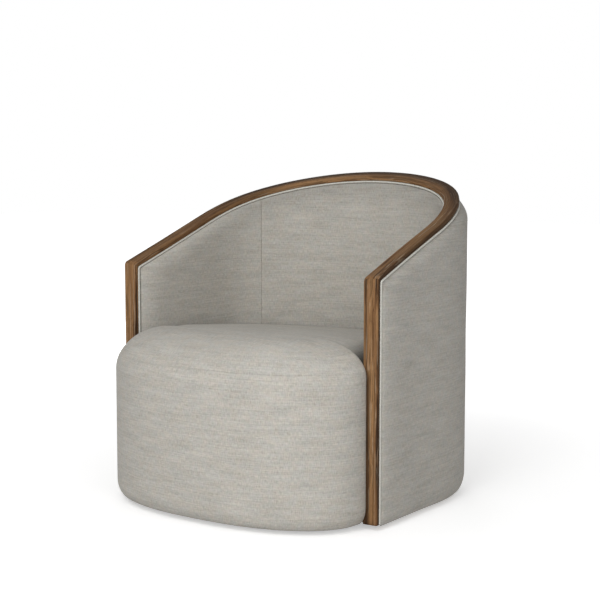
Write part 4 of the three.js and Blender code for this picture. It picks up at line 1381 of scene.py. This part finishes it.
        # Painted shade along the nose's fold.
        fold_shade[first : first + len(turn)] = self.fold_shade_depth * bell
        fold_shade = fold_shade * smooth_step((self.plan.post_plane - y) / self.nose_blend)
        behind = smooth_step((y - self.plan.post_plane) / self.crevice_shade_start)
        # Painted shade in the crevice between seat and wall, behind the posts.
        return fold_shade + self.crevice_shade_depth * np.exp(-((inward / self.crevice_shade_width) ** 2)) * behind

    def closed_faces(self, rings: int, count: int, half: int) -> Faces:
        """The faces between rings, a flat bottom, and quads that join left to right on the middle line.

        Args:
            rings: How many rings there are.
            count: Points in each ring.
            half: How many of them the right half has, both middle points included.

        Returns:
            Faces of a closed drum.
        """
        faces = tube_faces(rings, count, closed_ends=False)
        faces.append(list(range(count))[::-1])
        last, order = (rings - 1) * count, np.arange(half)
        right, left = last + order, last + (count - order) % count
        across = np.stack([right[:-1], right[1:], left[1:], left[:-1]], axis=1).tolist()
        return faces + [list(dict.fromkeys(face)) for face in across]

    def build(self, finish: bpy.types.Material, *nodes: str) -> None:
        """Makes the drum: hem, side, shoulder and crown, closed across the middle line.

        Hem and shoulder are quarter ellipses, the crown rises with 1 - (1 - share) ^ 2 of the way in, and all
        of the top falls evenly to the back.

        Args:
            finish: The linen.
            *nodes: The CAD nodes that it replaces.
        """
        hem_steps, side_steps, shoulder_steps, crown_steps = self.profile_steps
        half = self.half_outline()
        ring = np.concatenate([half, half[-2:0:-1] * (-1, 1)])
        y = ring[:, 1]
        middle = np.clip(y, self.plan.post_plane, self.plan.arch_centre)
        spoke = np.stack([0 * y, middle], axis=1) - ring
        length = np.linalg.norm(spoke, axis=1)
        reach, drop = self.shoulder(y)

        sine, cosine = quarter_arc(hem_steps)
        hem_in = (self.hem_depth * (1 - sine))[:, None] + 0 * y
        hem_up = (self.hem_bottom + self.hem_height * (1 - cosine))[:, None] + 0 * y
        turn = np.linspace(0.0, math.pi / 2, shoulder_steps)
        turn = np.sort(np.append(turn, self.fold_angle + np.array(self.fold_rows)))[:, None]
        shoulder_in = reach * (1 - np.cos(turn))
        shoulder_up = self.crown_level(shoulder_in / length, y, middle) - drop * (1 - np.sin(turn))
        side_up = hem_up[-1] + (shoulder_up[0] - hem_up[-1]) * np.linspace(0.0, 1.0, side_steps)[1:-1, None]
        crown_in = reach + (length - reach) * np.linspace(0.0, 1.0, crown_steps)[1:-1, None]
        inward = np.concatenate([hem_in, 0 * side_up, shoulder_in, crown_in])
        up = np.concatenate([hem_up, side_up, shoulder_up, self.crown_level(crown_in / length, y, middle)])
        flat = ring[None] + spoke[None] * (inward / length)[..., None]
        up = up + self.settled * flat[..., 0] * smooth_step((up - self.hem_bottom) / self.crown_height)
        points = np.concatenate([flat, up[..., None]], axis=-1)
        rings, count = up.shape

        around = running_length(half)
        around = np.concatenate([around, -around[-2:0:-1]])
        profile = running_length(np.swapaxes(points, 0, 1)).T
        cloth = np.stack([np.broadcast_to(around, up.shape), profile, 0 * up], axis=-1)
        start, stretch = self.level_step
        level = smooth_step((inward / reach - start) / stretch) * (up > self.level_from)
        # Painted shade along the nose's fold and in the crevice by the wall.
        painted_shade = self.fold_and_crevice_shade(y, inward, turn, len(hem_in) + len(side_up))
        layers = {"cloth": cloth.reshape(-1, 3), "level": level.ravel(), "painted_shade": painted_shade.ravel()}
        faces = self.closed_faces(rings, count, len(half))
        piece = make_mesh("seat_upholstery", points.reshape(-1, 3), faces, layers)
        hand_over(piece, "chair", Slot.LINEN, finish, *nodes)


@dataclass
class CarriedParts:
    """The frame, bearing and base, whose CAD shapes stay as they are and get their real finishes."""

    nodes: dict[str, bpy.types.Object]
    slots: dict[str, str]

    def dress(self, finishes: dict[Slot, bpy.types.Material]) -> None:
        """Gives every CAD node that still shows the finish of its slot.

        Args:
            finishes: The material of each slot.
        """
        for name, node in self.nodes.items():
            if not node.hide_render:
                node.data.materials.clear()
                node.data.materials.append(finishes[Slot(self.slots[name])])
                LOG.info("%s: %s", name, self.slots[name])


@dataclass(frozen=True)
class Softbox:
    """A square soft lamp: where it stands round the chair, in degrees from the front towards +X and up."""

    name: str
    azimuth: float
    elevation: float
    watts: float
    glossy: bool = True


SOFTBOXES = (
    Softbox("softbox_front_low", 15.0, 10.0, 21.8),
    Softbox("softbox_front_high", 15.0, 40.0, 39.5),
    Softbox("softbox_side", 47.0, 22.0, 20.5),
    Softbox("softbox_back", -140.0, 12.0, 34.0, glossy=False),
)


@dataclass
class Studio:
    """A pale floor, a white surround, soft lamps and the photograph's camera."""

    eye: tuple[float, float, float] = (2.068, -2.829, 0.855)
    heading: float = 0.628
    pitch: float = 0.106
    focal_pixels: float = 1420.2
    frame_pixels: int = 600
    sensor: float = 36.0
    ambient: float = 0.32
    lamp_size: float = 1.6
    lamp_distance: float = 3.5
    target: tuple[float, float, float] = (0.0, 0.0, 0.35)
    floor_half: float = 12.0
    floor_grey: float = 0.8
    floor_glow: tuple[float, float] = (0.45, 0.85)
    floor_glow_reach: tuple[float, float] = (0.5, 3.0)

    def build(self) -> None:
        """Makes the camera, floor, lamps and world."""
        self.camera()
        self.floor()
        for softbox in SOFTBOXES:
            self.lamp(softbox)
        self.surround()
        bpy.context.scene.view_settings.view_transform = "Standard"

    def camera(self) -> None:
        """The camera of the fit: where it stood, where it looked and how long its lens is."""
        data = bpy.data.cameras.new("photo_camera")
        data.sensor_width = self.sensor
        data.lens = self.focal_pixels * self.sensor / self.frame_pixels
        camera = bpy.data.objects.new("photo_camera", data)
        across, ahead = -math.sin(self.heading), math.cos(self.heading)
        level = math.cos(self.pitch)
        look = Vector((across * level, ahead * level, -math.sin(self.pitch)))
        camera.location = self.eye
        camera.rotation_mode = "QUATERNION"
        camera.rotation_quaternion = look.to_track_quat("-Z", "Y")
        bpy.context.scene.collection.objects.link(camera)
        bpy.context.scene.camera = camera

    def floor(self) -> None:
        """A large pale sheet under the glides, which looks white to the camera and keeps the shadow."""
        half = self.floor_half
        corners = [(-half, -half, 0), (half, -half, 0), (half, half, 0), (-half, half, 0)]
        mesh = bpy.data.meshes.new("floor")
        mesh.from_pydata(corners, [], [(0, 1, 2, 3)])
        floor = bpy.data.objects.new("floor", mesh)
        bpy.context.scene.collection.objects.link(floor)
        material = bpy.data.materials.new("floor_pale_paper")
        material.use_nodes = True
        sheet = NodeSheet(material.node_tree)
        shader = material.node_tree.nodes["Principled BSDF"]
        shader.inputs["Base Color"].default_value = (*(self.floor_grey,) * 3, 1)
        shader.inputs["Roughness"].default_value = 1.0
        place = sheet.add("TexCoord", output="Object")
        away = sheet.add("VectorMath", (place,), "Value", operation="LENGTH")
        strength = sheet.add("MapRange", (away, *self.floor_glow_reach, *self.floor_glow))
        strength = sheet.add("Math", (self.seen(sheet), strength), operation="MULTIPLY")
        glow = sheet.add("Emission", {"Color": (1, 1, 1, 1), "Strength": strength})
        both = sheet.add("AddShader", (shader.outputs[0], glow))
        sheet.tree.links.new(both, material.node_tree.nodes["Material Output"].inputs["Surface"])
        mesh.materials.append(material)

    def seen(self, sheet: NodeSheet) -> Socket:
        """Tells the rays that show the surround: from the camera, off gloss or through glass.

        Args:
            sheet: The tree to add to.

        Returns:
            1 for such a ray, or else 0.
        """
        shown = sheet.add("LightPath", output="Is Camera Ray")
        outputs = shown.node.outputs
        for kind in ("Is Glossy Ray", "Is Transmission Ray"):
            shown = sheet.add("Math", (shown, outputs[kind]), operation="MAXIMUM")
        return shown

    def lamp(self, softbox: Softbox) -> None:
        """Hangs one soft lamp, facing the chair.

        Args:
            softbox: Where it hangs and how bright it is.
        """
        data = bpy.data.lights.new(softbox.name, "AREA")
        data.shape = "SQUARE"
        data.size = self.lamp_size
        data.energy = softbox.watts
        azimuth, elevation = math.radians(softbox.azimuth), math.radians(softbox.elevation)
        level = math.cos(elevation)
        outward = Vector((math.sin(azimuth) * level, -math.cos(azimuth) * level, math.sin(elevation)))
        lamp = bpy.data.objects.new(softbox.name, data)
        lamp.location = Vector(self.target) + self.lamp_distance * outward
        lamp.rotation_mode = "QUATERNION"
        lamp.rotation_quaternion = (-outward).to_track_quat("-Z", "Y")
        lamp.visible_glossy = softbox.glossy
        bpy.context.scene.collection.objects.link(lamp)

    def surround(self) -> None:
        """White behind the chair, and a dimmer even light on it."""
        world = bpy.data.worlds.new("studio")
        world.use_nodes = True
        bpy.context.scene.world = world
        sheet = NodeSheet(world.node_tree)
        background = world.node_tree.nodes["Background"]
        background.inputs["Color"].default_value = (1, 1, 1, 1)
        seen = self.seen(sheet)
        strength = sheet.add("Mix", {0: seen, 2: self.ambient, 3: 1.0}, data_type="FLOAT")
        sheet.tree.links.new(strength, background.inputs["Strength"])


def main() -> None:
    """Builds the chair's pieces in order, dresses the carried parts and sets up the studio."""
    logging.basicConfig(level=logging.INFO, format="%(name)s %(message)s")
    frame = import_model()
    finishes = {slot: finish.build() for slot, finish in FINISHES.items()}

    _, rail_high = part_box("trim_rail")
    seat_low, seat_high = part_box("seat_cover")
    plan = WallPlan(half_width=rail_high.x, back=rail_high.y, post_plane=POST_PLANE, top=BACK_HEIGHT)
    band = OakBand(plan)
    band.build(finishes[Slot.OAK])
    piping = Piping(plan, band)
    piping.build("piping_cord_outer", "piping_outer", 0.0, band.post_bottom, finishes[Slot.WELT])
    piping.build("piping_cord_inner", "piping_inner", band.width, piping.inner_bottom, finishes[Slot.WELT])
    wall = WallUpholstery(plan, band, piping)
    wall.build_outside(finishes[Slot.LINEN])
    wall.build_inside(finishes[Slot.LINEN])
    seat = SeatDrum(plan, wall, crown_height=seat_high.z, nose_front=seat_low.y)
    seat.build(finishes[Slot.LINEN], "seat_cover", "seat_foam", "apron_foam")

    slots = {part["node"]: part["material_slot"] for part in frame["record"]["subparts"]}
    CarriedParts(frame["nodes"], slots).dress(finishes)
    Studio().build()


if __name__ == "__main__":
    main()
